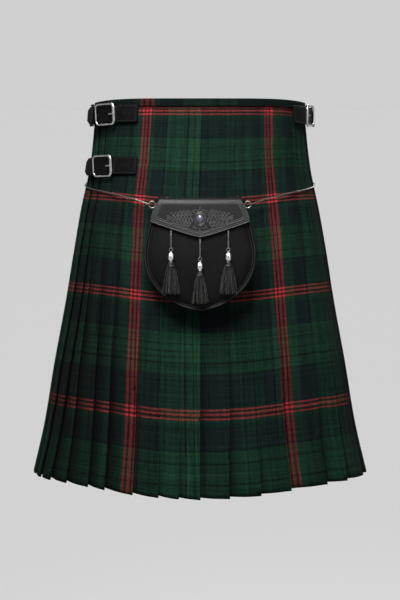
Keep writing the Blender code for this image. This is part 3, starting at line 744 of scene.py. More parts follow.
def one_link(bm, long, wide, wire):
    """An oval link of round wire, lying flat with its length along X."""
    radius = wide / 2 - wire
    place = Matrix.Translation((radius, 0, 0)) @ Matrix.Rotation(math.pi / 2, 4, "X")
    bmesh.ops.create_circle(bm, segments=5, radius=wire, matrix=place)
    spin_round(bm, 10)
    for vert in bm.verts:
        if abs(vert.co.x) > 1e-6:
            vert.co.x += math.copysign((long - wide) / 2, vert.co.x)


def set_along(bm, mesh, route, pitch, out, twist):
    """Copies of a small mesh along a route, each with its twist; the small mesh is used up."""
    count = max(2, round(length_of(route) / pitch))
    points = along_points(route, count + 1)
    for index in range(count):
        up = out(points[index]) if callable(out) else out
        middle = (points[index] + points[index + 1]) / 2
        place = axes_at(middle, points[index + 1] - points[index], up)
        add_mesh(bm, mesh, place @ twist(index))
    bpy.data.meshes.remove(mesh)


def sew(bm, route, out, pitch, long, thick, slant):
    """A row of stitches along a route, each a little slanted and half sunk."""
    stitch = small_mesh("stitch", one_stitch, long * MM, thick * MM)
    set_along(bm, stitch, route, pitch * MM, out, lambda index: Matrix.Rotation(slant, 4, "Z"))


def chain(bm, route, up, long, wide, wire):
    """Links along a route, each turned a quarter from the one before."""
    link = small_mesh("link", one_link, long, wide, wire)

    def quarter(index):
        return Matrix.Rotation(math.radians(45 + 90 * (index % 2)), 4, "X")

    set_along(bm, link, route, long - 2 * wire, up, quarter)


def turned(bm, profile, place, steps, ridges=0, depth=0.0):
    """A shape turned on a lathe from a profile of radius and height, with ridges if wanted."""
    made = bmesh.new()
    verts = [made.verts.new((max(radius, 1e-5), 0, height)) for radius, height in profile]
    for one, other in zip(verts, verts[1:]):
        made.edges.new((one, other))
    spin_round(made, steps)
    bmesh.ops.remove_doubles(made, verts=made.verts, dist=3e-5)
    bmesh.ops.recalc_face_normals(made, faces=made.faces)
    for vert in made.verts:
        if ridges:
            angle = math.atan2(vert.co.y, vert.co.x)
            grow = 1 + depth * math.cos(ridges * angle)
            vert.co.x *= grow
            vert.co.y *= grow
    add_form(bm, made, place)


# Finishes


class Finish:
    """A material whose nodes are added one by one."""

    def __init__(self, name, roughness=0.5, **sockets):
        self.material = bpy.data.materials.new(name)
        self.material.use_nodes = True
        self.tree = self.material.node_tree
        self.shader = self.tree.nodes["Principled BSDF"]
        self.shader.inputs["Roughness"].default_value = roughness
        for socket, value in sockets.items():
            self.shader.inputs[socket.replace("_", " ")].default_value = value

    def node(self, kind, settings=(), **links):
        """A node with its settings; its sockets, by name or as i and a number, are linked or set."""
        made = self.tree.nodes.new("ShaderNode" + kind)
        for key, value in dict(settings).items():
            setattr(made, key, value)
        for key, value in links.items():
            socket = made.inputs[int(key[1:])] if key[0] == "i" and key[1:].isdigit() else made.inputs[key]
            if isinstance(value, bpy.types.NodeSocket):
                self.tree.links.new(value, socket)
            else:
                socket.default_value = value
        return made

    def math(self, operation, *values):
        links = {f"i{index}": value for index, value in enumerate(values)}
        return self.node("Math", {"operation": operation}, **links).outputs[0]

    def mix(self, share, one, other, blend="MIX"):
        """Colour between two colours."""
        links = {"i0": share, "i6": one, "i7": other}
        return self.node("Mix", {"data_type": "RGBA", "blend_type": blend}, **links).outputs[2]

    def bands(self, value, stops, kind="CONSTANT"):
        """A colour ramp with these stops; red yarns have a low alpha that marks them."""
        ramp = self.node("ValToRGB", Fac=value)
        ramp.color_ramp.interpolation = kind
        elements = ramp.color_ramp.elements
        while len(elements) < len(stops):
            elements.new(0.5)
        for element, (position, colour) in zip(elements, stops):
            element.position = position
            element.color = colour if len(colour) == 4 else (*colour, 1.0)
        return ramp

    def place(self):
        return self.node("TexCoord").outputs["Object"]

    def noise(self, scale, detail=3.0, vector=None, roughness=0.5):
        links = {"Scale": scale, "Detail": detail, "Roughness": roughness}
        return self.node("TexNoise", Vector=vector or self.place(), **links).outputs[0]

    def colour(self, socket):
        self.tree.links.new(socket, self.shader.inputs["Base Color"])

    def rough(self, socket):
        self.tree.links.new(socket, self.shader.inputs["Roughness"])

    def bump(self, height, distance, strength=1.0):
        made = self.node("Bump", Height=height, Distance=distance, Strength=strength)
        self.tree.links.new(made.outputs[0], self.shader.inputs["Normal"])


def grey(level):
    return (level, level, level)


def tartan_finish():
    """Twill wool: each yarn's colour by its place in the repeat, the two sets crossing, darkened where shade
    is painted in the folds.
    """
    finish = Finish("tartan", 0.9, Specular_IOR_Level=0.04)
    laid = finish.node("UVMap", {"uv_map": "repeat"}).outputs[0]
    split = finish.node("SeparateXYZ", Vector=laid)
    across, down = split.outputs[0], split.outputs[1]

    def marked(yarns):
        return [(place, (*colour, 0.0 if colour in (RED, WARP_RED) else 1.0)) for place, colour in yarns]

    # Threads wander a little, so the edges of the bands are soft
    stray = finish.math("MULTIPLY_ADD", finish.noise(1100.0, 1.0), STRAY, -STRAY / 2)
    warp = finish.bands(finish.math("FRACT", finish.math("ADD", across, stray)), marked(WARP_YARNS))
    weft = finish.bands(finish.math("FRACT", finish.math("ADD", down, stray)), marked(WEFT_YARNS))
    twill = finish.math("MULTIPLY_ADD", down, TWILL_DOWN, finish.math("MULTIPLY", across, TWILL_ACROSS))
    wave = finish.math("SINE", finish.math("MULTIPLY", twill, WHOLE_TURN))
    over = finish.math("MULTIPLY_ADD", wave, 0.26, 0.5)
    woven = finish.mix(over, warp.outputs[0], weft.outputs[0])
    plain_warp = finish.math("SUBTRACT", 1.0, warp.outputs[1])
    plain_weft = finish.math("SUBTRACT", 1.0, weft.outputs[1])
    crossing = finish.math("MULTIPLY", plain_warp, plain_weft)
    woven = finish.mix(crossing, woven, (*CROSSING_RED, 1))
    # Each yarn is a little lighter or darker along its own line, and the wool is uneven
    warp_line = finish.node("CombineXYZ", X=finish.math("MULTIPLY", across, WARP_LINES), Y=down)
    weft_line = finish.node("CombineXYZ", X=across, Y=finish.math("MULTIPLY", down, WEFT_LINES))
    streaks = finish.math(
        "ADD",
        finish.noise(1.0, 3.0, warp_line.outputs[0], 0.7),
        finish.noise(1.0, 3.0, weft_line.outputs[0], 0.7),
    )
    wool = finish.math("ADD", streaks, finish.math("MULTIPLY", finish.noise(420.0, 4.0, roughness=0.7), 0.9))
    level = finish.math("MAXIMUM", finish.math("MULTIPLY_ADD", wool, 1.76, -1.72), 0.12)
    # Painted shade of the folds and the close pleats darkens the wool
    fold = finish.node("Attribute", {"attribute_name": "fold"}).outputs["Fac"]
    level = finish.math("MULTIPLY", level, finish.math("MULTIPLY_ADD", fold, -0.9, 1.0))
    grey = finish.node("CombineColor", i0=level, i1=level, i2=level).outputs[0]
    finish.colour(finish.mix(1.0, woven, grey, "MULTIPLY"))
    finish.bump(finish.math("ADD", wave, finish.noise(2500.0, 2.0)), 0.00012, 0.5)
    return finish.material


def leather_finish(name, colour, worn, rough, grain, shine, patch=26.0):
    """Black grained leather, a little paler and duller where it is worn."""
    finish = Finish(name, rough, Specular_IOR_Level=shine)
    patches = finish.noise(patch, 4.0)
    wear = finish.node("MapRange", Value=patches, i1=0.48, i2=0.80, i3=0.0, i4=0.45).outputs[0]
    finish.colour(finish.mix(wear, (*colour, 1), (*worn, 1)))
    fine = finish.noise(grain * 2.2, 2.0)
    roughness = finish.math("MULTIPLY_ADD", patches, 0.30, rough - 0.14)
    finish.rough(finish.math("MULTIPLY_ADD", fine, 0.12, finish.math("SUBTRACT", roughness, 0.03)))
    cells = finish.node("TexVoronoi", {"feature": "DISTANCE_TO_EDGE"}, Vector=finish.place(), Scale=grain)
    height = finish.math("MINIMUM", finish.math("MULTIPLY", cells.outputs[0], 3.0), 1.0)
    finish.bump(finish.math("MULTIPLY_ADD", fine, 0.3, height), 0.00018, 0.55)
    return finish.material


def silver_finish(name, dull, bright, rough=0.12):
    """Silver plate, cloudy where it has tarnished."""
    finish = Finish(name, rough, Metallic=1.0)
    cloud = finish.noise(160.0, 3.0)
    finish.colour(finish.mix(cloud, (*dull, 1), (*bright, 1)))
    finish.rough(finish.math("MULTIPLY_ADD", finish.noise(700.0, 3.0), 0.28, rough))
    finish.bump(finish.noise(1400.0, 2.0), 0.00004, 0.5)
    return finish.material


def stone_finish():
    """Polished stone with darker veins."""
    finish = Finish("stone", 0.30, Specular_IOR_Level=0.5)
    veins = finish.noise(320.0, 5.0, roughness=0.7)
    stops = ((0.3, (0.009, 0.009, 0.017)), (0.7, (0.060, 0.060, 0.095)))
    finish.colour(finish.bands(veins, stops, "LINEAR").outputs[0])
    return finish.material


def thread_finish(name, colour):
    """Waxed linen thread with fine uneven plies."""
    finish = Finish(name, 0.6, Specular_IOR_Level=0.25)
    ply = finish.noise(2600.0, 1.0)
    finish.colour(finish.mix(ply, (*[part * 0.6 for part in colour], 1), (*colour, 1)))
    finish.bump(ply, 0.0001, 0.6)
    return finish.material


def plain_finish(name, colour, rough):
    """A plain dull surface with a trace of unevenness."""
    finish = Finish(name, rough, Specular_IOR_Level=0.1)
    shade = finish.noise(0.6, 2.0)
    finish.colour(finish.mix(shade, (*[part * 0.99 for part in colour], 1), (*colour, 1)))
    return finish.material


TARTAN = tartan_finish()
# Colour, colour where it is worn, roughness, grains per metre, shine
LEATHER = leather_finish("leather", (0.0008, 0.0008, 0.0009), (0.0022, 0.0022, 0.0024), 0.42, 900, 0.055)
FLAP_LEATHER = leather_finish("flap_leather", grey(0.0020), (0.0062, 0.0062, 0.0060), 0.40, 700, 0.125)
# The raised ornament is painted paler than the flap: partly wear on the relief, partly painted highlight
RAISED_LEATHER = leather_finish("raised_leather", grey(0.018), (0.070, 0.068, 0.065), 0.38, 1500, 0.28)
# The border bars are painted paler than the flap, a painted highlight along the edge and the tooled line
EDGE_LEATHER = leather_finish("edge_leather", grey(0.007), grey(0.022), 0.34, 1500, 0.30)
THONG = leather_finish("thong", (0.0042, 0.0042, 0.0041), (0.066, 0.066, 0.062), 0.42, 1500, 0.17, 330)
SILVER = silver_finish("silver", (0.19, 0.185, 0.175), (0.64, 0.63, 0.60), 0.16)
BEAD_SILVER = silver_finish("bead_silver", (0.50, 0.49, 0.47), (0.88, 0.87, 0.84), 0.20)
DARK_SILVER = silver_finish("dark_silver", (0.012, 0.012, 0.011), (0.085, 0.082, 0.075), 0.34)
AGED_SILVER = silver_finish("aged_silver", (0.036, 0.035, 0.032), (0.20, 0.19, 0.175), 0.26)
STONE = stone_finish()
THREAD = thread_finish("thread", (0.115, 0.113, 0.106))
POUCH_THREAD = thread_finish("pouch_thread", (0.040, 0.040, 0.038))
BLACK_THREAD = thread_finish("black_thread", (0.016, 0.016, 0.0155))
WOOL_THREAD = thread_finish("wool_thread", (0.002, 0.005, 0.004))
# Dark patches that stand in for holes: painted shade for their shaded insides
HOLE_SHADE = plain_finish("hole_shade", grey(0.0010), 0.9)


def silver_piece(node, bm, finish, sharp=60):
    return piece("silver_" + node, bm, finish, "silver_metal", node, sharp=sharp)


def leather_piece(node, bm, finish, sharp=40):
    return piece("leather_" + node, bm, finish, "black_leather", node, sharp=sharp)


# Cloth


def cut_of(paths, shares):
    """Widest width, length and area of the flat cut that a piece was folded from."""
    widths = []
    for path, share in zip(paths, shares):
        widths.append(length_of([on_cloth(turn, share, out) for turn, out, _, _ in path]))
    lengths = []
    for one, other in zip(shares, shares[1:]):
        lengths.append((on_cloth(0, other, 0) - on_cloth(0, one, 0)).length)
    area = sum(lengths[i] * (widths[i] + widths[i + 1]) / 2 for i in range(len(lengths)))
    return max(widths), sum(lengths), area


def lay_tartan(bm, spots, look):
    """Writes each corner's painted shade, deepest in the folds, and its place in the tartan."""
    fold = bm.verts.layers.float["fold"]
    laid = bm.loops.layers.uv["repeat"]
    for vert, spot in spots.items():
        deep, repeats = look(*spot)
        vert[fold] = deep
        for loop in vert.link_loops:
            loop[laid].uv = repeats


def lay_cloth(node, make_path, shares):
    """A sheet of tartan on a path round the body at each height."""
    paths = [make_path(share) for share in shares]
    columns = len(paths[0]) - 1
    rows = len(shares) - 1

    def place(column, row):
        turn, out, dip, _ = paths[rows - row][column]
        share = shares[rows - row]
        return on_cloth(turn, share, out + ripple(turn, share), dip)

    def look(column, row):
        turn, _, _, deep = paths[rows - row][column]
        share = shares[rows - row]
        # Painted shade: the close pleats of the sides and back keep light off each other, and the folds add
        # their own
        side = PACKED_FROM[0] if turn < 0 else PACKED_FROM[1]
        packed = PACKED * min(1.0, max(0.0, (abs(turn) - side) / PACKED_OVER)) * min(1.0, share * 3)
        shade = packed + (1 - packed) * deep * min(1.0, 0.15 + share * 2.2)
        return shade, (warp_repeat(turn, share), weft_repeat(turn, share))

    bm, spots = shell(columns, rows, place)
    lay_tartan(bm, spots, look)
    item = piece("cloth_" + node, bm, TARTAN, "tartan_wool", node, sharp=0)
    thicken(item, WALL)
    wide, long, area = cut_of(paths, shares)


def make_cloth():
    """The over apron, the under apron and the six panels of pleats."""
    shares = spread(0, 1, CLOTH_ROWS)
    lay_cloth("over_apron", over_apron_path, shares)
    short = 1 - UNDER_APRON_SHORT / LENGTH
    lay_cloth("under_apron", under_apron_path, [share * short for share in shares])
    step = (360 + APRON_EDGE - FIRST_PLEAT) / PLEATS_AFTER_FIRST
    edges = [FIRST_PLEAT + step * (index + 1) for index in range(PLEATS_AFTER_FIRST)]
    previous = FIRST_PLEAT
    for name, count in PLEAT_NODES:
        own, edges = edges[:count], edges[count:]

        def path(share, own=own, previous=previous, last=not edges):
            return pleat_path(share, own, previous, last)

        lay_cloth(name, path, shares)
        previous = own[-1]


def make_waistband():
    """A strip of the tartan folded over the top edges, with a row of stitches along its foot."""
    count = 150
    depth = 2 * LAYER_AT_WAIST + WALL + UNDER_APRON_IN + CLEAR
    outer = CLEAR + BAND_WALL / 2
    inner = -depth - BAND_WALL / 2
    drop = BAND_HIGH / LENGTH
    profile = [(drop * (1 - i / 4), outer, 0.0) for i in range(4)]
    middle = (outer + inner) / 2
    half = (outer - inner) / 2
    for index in range(9):
        angle = math.pi * index / 8
        rise = 0.0003 + BAND_WALL / 2 + 0.0009 * math.sin(angle)
        profile.append((0.0, middle + half * math.cos(angle), rise))
    profile += [(drop * (i + 1) / 4, inner, 0.0) for i in range(4)]

    def turn_at(share):
        return BAND_FROM + BAND_ROUND * share

    def place(column, row):
        share, out, rise = profile[row]
        return on_cloth(turn_at(column / count), share, out) + UP * rise

    across = [0.0]
    for row in range(len(profile) - 1):
        across.append(across[-1] + (place(0, row + 1) - place(0, row)).length)

    def look(column, row):
        repeat = (turn_at(column / count) - BAND_GROUP) / BAND_REPEAT_TURN
        return BAND_SHADE, (repeat, BAND_START - across[row] / BAND_REPEAT_LONG)

    bm, spots = shell(count, len(profile) - 1, place)
    lay_tartan(bm, spots, look)
    item = piece("cloth_waistband", bm, TARTAN, "tartan_wool", "waistband", sharp=0)
    thicken(item, BAND_WALL)
    around = length_of([place(column, 3) for column in range(count + 1)])
    bm = bmesh.new()
    route = [on_cloth(turn_at(i / 200), drop * 0.86, CLEAR + BAND_WALL) for i in range(201)]
    sew(bm, route, lambda point: Vector((point.x, point.y * 1.8, 0)), *BAND_STITCH)
    piece("stitches_waistband", bm, WOOL_THREAD, "tartan_wool")


# Straps and buckles


def strap_place(strap, turn, out, height):
    """A point on a strap: out in metres, height from its middle."""
    return on_cloth(strap.side * (turn + strap.added), (strap.drop - height) / LENGTH, out)


def strap_out(strap, route, turn):
    """How far out the middle of a strap lies at this turn."""
    return (strap.base + read(route, turn) * strap.share) * MM


def tip_width(turn, last, blunt=3.2, cut=0.56):
    """Width share near the chamfered tip of a strap."""
    left = last - turn
    return 1.0 if left >= blunt else between(cut, 1.0, left / blunt)


def leather_band(node, place, turns, wide, thick, width_at=lambda turn: 1.0):
    """A flat leather band with round edges, as columns along it and rows across."""
    rows = 6
    columns = len(turns) - 1

    def spot(column, row):
        turn = turns[column]
        return place(turn, (row / rows - 0.5) * wide * width_at(turn))

    bm, _ = shell(columns, rows, spot)
    bmesh.ops.recalc_face_normals(bm, faces=bm.faces)
    thicken(leather_piece(node, bm, LEATHER), thick, thick * 0.3)


def on_route(strap, route):
    """Gives the points of a strap on this route by turn, height and lift."""

    def place(turn, height, lift=0.0):
        return strap_place(strap, turn, strap_out(strap, route, turn) + lift, height)

    return place


def away(point):
    """Level direction from the middle of the body to a point."""
    return Vector((point.x, point.y, 0))


def make_strap(strap, stitches, holes):
    """A strap, its tab, their stitches and holes, the buckle and the keeper."""
    first, last = BILLET_ROUTE[0][0], BILLET_ROUTE[-1][0]
    tab_first, tab_last = TAB_ROUTE[0][0], TAB_ROUTE[-1][0]
    on_billet = on_route(strap, BILLET_ROUTE)
    on_tab = on_route(strap, TAB_ROUTE)

    def billet_width(turn):
        end = 1.0 if turn > first + 0.8 else 0.93
        return end * tip_width(turn, last)

    billet_turns = spread(first, last, 44)
    tab_turns = spread(tab_first, tab_last, 44)
    leather_band(f"strap_{strap.name}", on_billet, billet_turns, STRAP_WIDE, BILLET_THICK, billet_width)
    leather_band(f"buckle_tab_{strap.name}", on_tab, tab_turns, STRAP_WIDE, TAB_THICK)
    # Stitches along both edges, across the sewn end and before the buckle
    edge = STRAP_WIDE / 2 - STITCHES_IN
    lift = BILLET_THICK / 2 + 0.00005
    tab_lift = TAB_THICK / 2
    sewn_to = FRAME_FROM + 0.5
    for height in (-edge, edge):
        row = [on_billet(turn, height, lift) for turn in spread(first + 0.9, sewn_to, 20)]
        sew(stitches, row, away, *STRAP_STITCH)
        row = [on_tab(turn, height, tab_lift) for turn in spread(tab_first + 14, tab_last - 1, 24)]
        sew(stitches, row, away, *STRAP_STITCH)
    for on_band, turn in ((on_billet, first + 0.9), (on_billet, sewn_to), (on_tab, tab_last - 1.2)):
        row = [on_band(turn, height, lift) for height in spread(-edge, edge, 6)]
        sew(stitches, row, away, *STRAP_STITCH)
    # Punched holes on the middle line, as dark discs of painted shade that are not cut through
    for turn in HOLE_TURNS:
        centre = on_billet(turn, 0, lift)
        along = on_billet(turn + 0.5, 0) - on_billet(turn - 0.5, 0)
        place = axes_at(centre, along, away(centre))
        turned(holes, HOLE_PROFILE, place, 12)
    make_buckle(strap, on_billet)
    if strap.keeper:
        make_keeper(strap)


def make_buckle(strap, on_billet):
    """A round-cornered frame with a heavy front bar, its prong over the bar, on the strap."""
    near = on_billet(FRAME_FROM, 0)
    far = on_billet(FRAME_TO, 0)
    middle = (near + far) / 2
    along = (far - near).normalized()
    up = (UP - along * UP.dot(along)).normalized()
    out = along.cross(up) * strap.side
    highest = 0.0
    for turn in spread(FRAME_FROM - 2, FRAME_TO + 2, 40):
        for height in (-STRAP_WIDE / 2, STRAP_WIDE / 2):
            place = on_billet(turn, height) - middle
            if abs(place.dot(along)) > FRAME_LONG / 2 - 3 * FRAME_BAR:
                highest = max(highest, place.dot(out))
    centre = middle + out * (highest + BILLET_THICK / 2 + 0.0003 + FRAME_BAR)
    half_long = FRAME_LONG / 2 - FRAME_BAR - FRAME_CORNER
    half_high = FRAME_HIGH / 2 - FRAME_BAR - FRAME_CORNER
    route = []
    for corner, (one, other) in enumerate(((1, 1), (-1, 1), (-1, -1), (1, -1))):
        turn_point = centre + along * (one * half_long) + up * (other * half_high)
        for step in range(7):
            angle = math.radians(90 * corner + 15 * step)
            route.append(turn_point + (along * math.cos(angle) + up * math.sin(angle)) * FRAME_CORNER)
    count = 72
    route = along_points(route, count, closed=True)
    bm = bmesh.new()

    def width(share):
        """The bar nearest the apron is the heavy one, the far bar the thin one."""
        place = (route[round(share * count) % count] - centre).dot(along) / (FRAME_LONG / 2)
        heavy = max(0.0, -place - 0.55) / 0.35
        thin = max(0.0, place - 0.55) / 0.35
        return (1.35 + 1.05 * min(1, heavy) - 0.15 * min(1, thin)) * MM

    def height(share):
        return width(share) * 0.72

    bar(bm, route, out, width, height, 12, closed=True)
    silver_piece(f"buckle_{strap.name}", bm, SILVER)
    bm = bmesh.new()
    reach = FRAME_LONG / 2 - FRAME_BAR
    over = FRAME_BAR * 1.05 + 0.0011
    tip = [
        centre - along * (reach + 0.0026) + out * (over - 0.0004),
        centre - along * (reach + 0.0008) + out * (over + 0.0002),
        centre - along * (reach - 0.0022) + out * over,
        centre - along * (reach - 0.0060) + out * 0.0018,
        centre - along * (reach - 0.0105) + out * 0.0002,
    ]
    bar(bm, along_points(tip, 14), up, lambda share: between(0.85, 1.25, min(1, share * 3)) * MM, None, 10)
    silver_piece(f"prong_{strap.name}", bm, SILVER)


def make_keeper(strap):
    """A loop of leather round the strap and the tab."""
    middle = FRAME_TO + 3.0
    half = math.degrees(KEEPER_WIDE / 2 / half_sizes(0.0)[0])
    corner = 0.0022
    thick = 0.0016
    beside = CLEAR + thick / 2
    top = strap_out(strap, BILLET_ROUTE, middle) + BILLET_THICK / 2 + beside
    low = strap_out(strap, TAB_ROUTE, middle) - TAB_THICK / 2 - beside
    high = 0.018 - thick / 2
    points = []
    for sign_out, sign_up in ((1, 1), (1, -1), (-1, -1), (-1, 1)):
        level = (top if sign_out > 0 else low) - sign_out * corner * 0.5
        height = sign_up * (high - corner)
        start = math.atan2(sign_out, sign_up)
        for step in range(4):
            angle = start + math.radians(45 - 30 * step) * (1 if sign_out * sign_up > 0 else -1)
            points.append((level + math.sin(angle) * corner * 0.5, height + math.cos(angle) * corner))
    count = len(points)

    def spot(column, row):
        out, height = points[column]
        return strap_place(strap, between(middle - half, middle + half, row / 4), out, height)

    bm, _ = shell(count, 4, spot, wrap=True)
    thicken(leather_piece(f"keeper_{strap.name}", bm, LEATHER, 60), thick, 0.0004)


def make_straps():
    """The three straps, with one piece for all their stitches and one for all holes."""
    stitches = bmesh.new()
    holes = bmesh.new()
    for strap in STRAPS:
        make_strap(strap, stitches, holes)
    piece("stitches_straps", stitches, BLACK_THREAD, "black_leather")
    piece("holes_straps", holes, HOLE_SHADE, "black_leather")


# Sporran


@lru_cache(maxsize=1)
def sporran_axes():
    """Place of the sporran's top, and its ways across, up and out."""
    top = on_cloth(0, SPORRAN_DROP / LENGTH, SPORRAN_OFF)
    low = on_cloth(0, (SPORRAN_DROP + SPORRAN_HIGH) / LENGTH, SPORRAN_OFF)
    up = (top - low).normalized()
    across = Vector((1, 0, 0))
    return top, across, up, across.cross(up)


def on_sporran(across, up, out):
    """A point in mm across, up from the flap's top edge and out from the back."""
    place, one, two, three = sporran_axes()
    return place + (one * across + two * up + three * out) * MM


def smooth_outline(count):
    """The pouch's outline as evenly spaced points of across and up, in mm."""
    right = [Vector((half, -drop, 0)) for drop, half in POUCH_OUTLINE]
    left = [Vector((-point.x, point.y, 0)) for point in reversed(right[:-1])]
    rough = right + left
    curve = []
    for index in range(len(rough) - 1):
        one, two = rough[index], rough[index + 1]
        before = rough[max(0, index - 1)]
        after = rough[min(len(rough) - 1, index + 2)]
        for step in range(8):
            t = step / 8
            curve.append(
                0.5
                * (
                    2 * one
                    + (two - before) * t
                    + (2 * before - 5 * one + 4 * two - after) * t**2
                    + (3 * one - before - 3 * two + after) * t**3
                )
            )
    curve.append(rough[-1])
    return along_points(curve, count)


def pouch_point(spot, scale, out):
    """A point of the pouch's outline, drawn in towards its middle."""
    return on_sporran(spot.x * scale, POUCH_MIDDLE + (spot.y - POUCH_MIDDLE) * scale, out)


def make_pouch():
    """The closed pouch with its back panel and its stitched rim."""
    count = 84
    outline = smooth_outline(count)

    def place(column, row):
        out, scale = POUCH_RINGS[row]
        return pouch_point(outline[column % count], scale, out)

    bm, _ = shell(count, len(POUCH_RINGS) - 1, place, wrap=True)
    item = leather_piece("sporran_pouch", bm, LEATHER, 0)
    rounded = item.modifiers.new("round", "SUBSURF")
    rounded.levels = 1
    rounded.render_levels = 1
    # Back panel, flat against the cloth
    levels = ((0.3, 0.0), (0.3, 0.975), (0.8, 0.985), (2.3, 0.985), (2.8, 0.975), (2.8, 0.0))

    def back_place(column, row):
        out, scale = levels[row]
        spot = outline[column % count].copy()
        if spot.y > -6:
            spot.y = 3.0
        return pouch_point(spot, scale, out)

    bm, _ = shell(count, len(levels) - 1, back_place, wrap=True)
    leather_piece("sporran_back", bm, LEATHER)
    # Raised rim with its stitches on both sides
    out_way = sporran_axes()[3]
    route = [pouch_point(spot, 0.984, 26.6) for spot in outline[6:-6]]
    bm = bmesh.new()
    bar(bm, route, out_way, 2.5 * MM, 1.9 * MM, 10)
    leather_piece("sporran_rim", bm, LEATHER, 60)
    bm = bmesh.new()
    for scale, lift in ((0.942, 27.65), (0.984, 28.7)):
        row = [pouch_point(spot, scale, lift) for spot in outline[6:-6]]
        sew(bm, row, out_way, *RIM_STITCH)
    piece("stitches_sporran_rim", bm, POUCH_THREAD, "black_leather")


def flap_half_width(drop):
    share = min(1.0, max(0.0, drop / FLAP_SIDE_DROP))
    return between(FLAP_HALF_TOP, FLAP_HALF_SIDE, math.sin(share * math.pi / 2))


FLAP_PATH_ROWS = 22
FLAP_FRONT_ROWS = 30
FLAP_COLUMNS = 60


def flap_path(share):
    """Out and up of the flap's middle over the pouch's top edge."""
    keyed = [(index / (len(FLAP_TOP_PATH) - 1), *spot) for index, spot in enumerate(FLAP_TOP_PATH)]
    return read(keyed, share, 1), read(keyed, share, 2)


def flap_edge(column):
    """Drop of the flap's lower edge at this column, with a soft point."""
    return between(FLAP_TIP_DROP, FLAP_SIDE_DROP, (column * column + 0.0016) ** 0.575)


def flap_fall(across):
    """How far the flap's front falls back towards its sides, in mm."""
    return FLAP_SIDE_FALL * (abs(across) / FLAP_HALF_SIDE) ** 2


def flap_front(across, drop, lift=0.0):
    """A point on the middle surface of the flap's front face, in mm across and down."""
    return on_sporran(across, -drop, FLAP_FRONT - flap_fall(across) + lift)


def flap_bend(across, out, up, lift=0.0):
    """A point where the flap bends over the pouch; its sides fall back only near the front."""
    near_front = max(0.0, out / FLAP_FRONT) ** 3
    return on_sporran(across, up, out + lift - flap_fall(across) * near_front)


def flap_point(column, row):
    """Column from -1 to 1, row along the flap."""
    if row <= FLAP_PATH_ROWS:
        out, up = flap_path(row / FLAP_PATH_ROWS)
        return flap_bend(column * flap_half_width(-up), out, up)
    share = (row - FLAP_PATH_ROWS) / FLAP_FRONT_ROWS
    start = -FLAP_TOP_PATH[-1][1]
    drop = between(start, flap_edge(column), share)
    return flap_front(column * flap_half_width(drop), drop)


def make_flap():
    """The flap over the pouch with its tooled border, its stitches and its ornament."""
    rows = FLAP_PATH_ROWS + FLAP_FRONT_ROWS

    def place(column, row):
        return flap_point(2 * column / FLAP_COLUMNS - 1, row)

    bm, _ = shell(FLAP_COLUMNS, rows, place)
    bmesh.ops.recalc_face_normals(bm, faces=bm.faces)
    item = leather_piece("sporran_flap", bm, FLAP_LEATHER, 0)
    thicken(item, FLAP_THICK * MM, 0.8 * MM)
    out_way = sporran_axes()[3]
    top = FLAP_THICK / 2
    # Tooled border and two rows of stitches that follow the flap's edge
    stitches = bmesh.new()
    border = bmesh.new()

    def edge_line(inset):
        """A line on the front face that keeps this far inside the sides and the lower edge."""
        low = FLAP_SIDE_DROP - inset * 0.9
        line = [(-(flap_half_width(drop) - inset), drop) for drop in spread(2.0, low, 14)]
        reach = flap_half_width(low) - inset
        for across in spread(-reach, reach, 60)[1:-1]:
            column = across / (FLAP_HALF_SIDE - inset)
            line.append((across, flap_edge(column) - inset * 1.02))
        line += [(flap_half_width(drop) - inset, drop) for drop in spread(low, 2.0, 14)]
        return line

    def laid(inset, lift):
        """That line on the leather, with its two ends on the bend."""
        spots = []
        for across, drop in edge_line(inset):
            if drop < 6.0:
                out, up = flap_path(between(0.80, 1.0, drop / 6.0))
                spots.append(flap_bend(across, out, up, lift))
            else:
                spots.append(flap_front(across, drop, lift))
        return spots

    for inset in (3.4, 8.0):
        sew(stitches, laid(inset, top + 0.1), out_way, *FLAP_STITCH)
    piece("stitches_sporran_flap", stitches, THREAD, "black_leather")
    # Border bars in the paler leather, a painted highlight along the edge
    bar(border, laid(5.7, top), out_way, 0.75 * MM, 0.45 * MM)
    bar(border, laid(0.9, top - 0.5), out_way, 1.0 * MM, 0.9 * MM)
    piece("border_sporran_flap", border, EDGE_LEATHER, "black_leather", sharp=60)
    make_ornament()


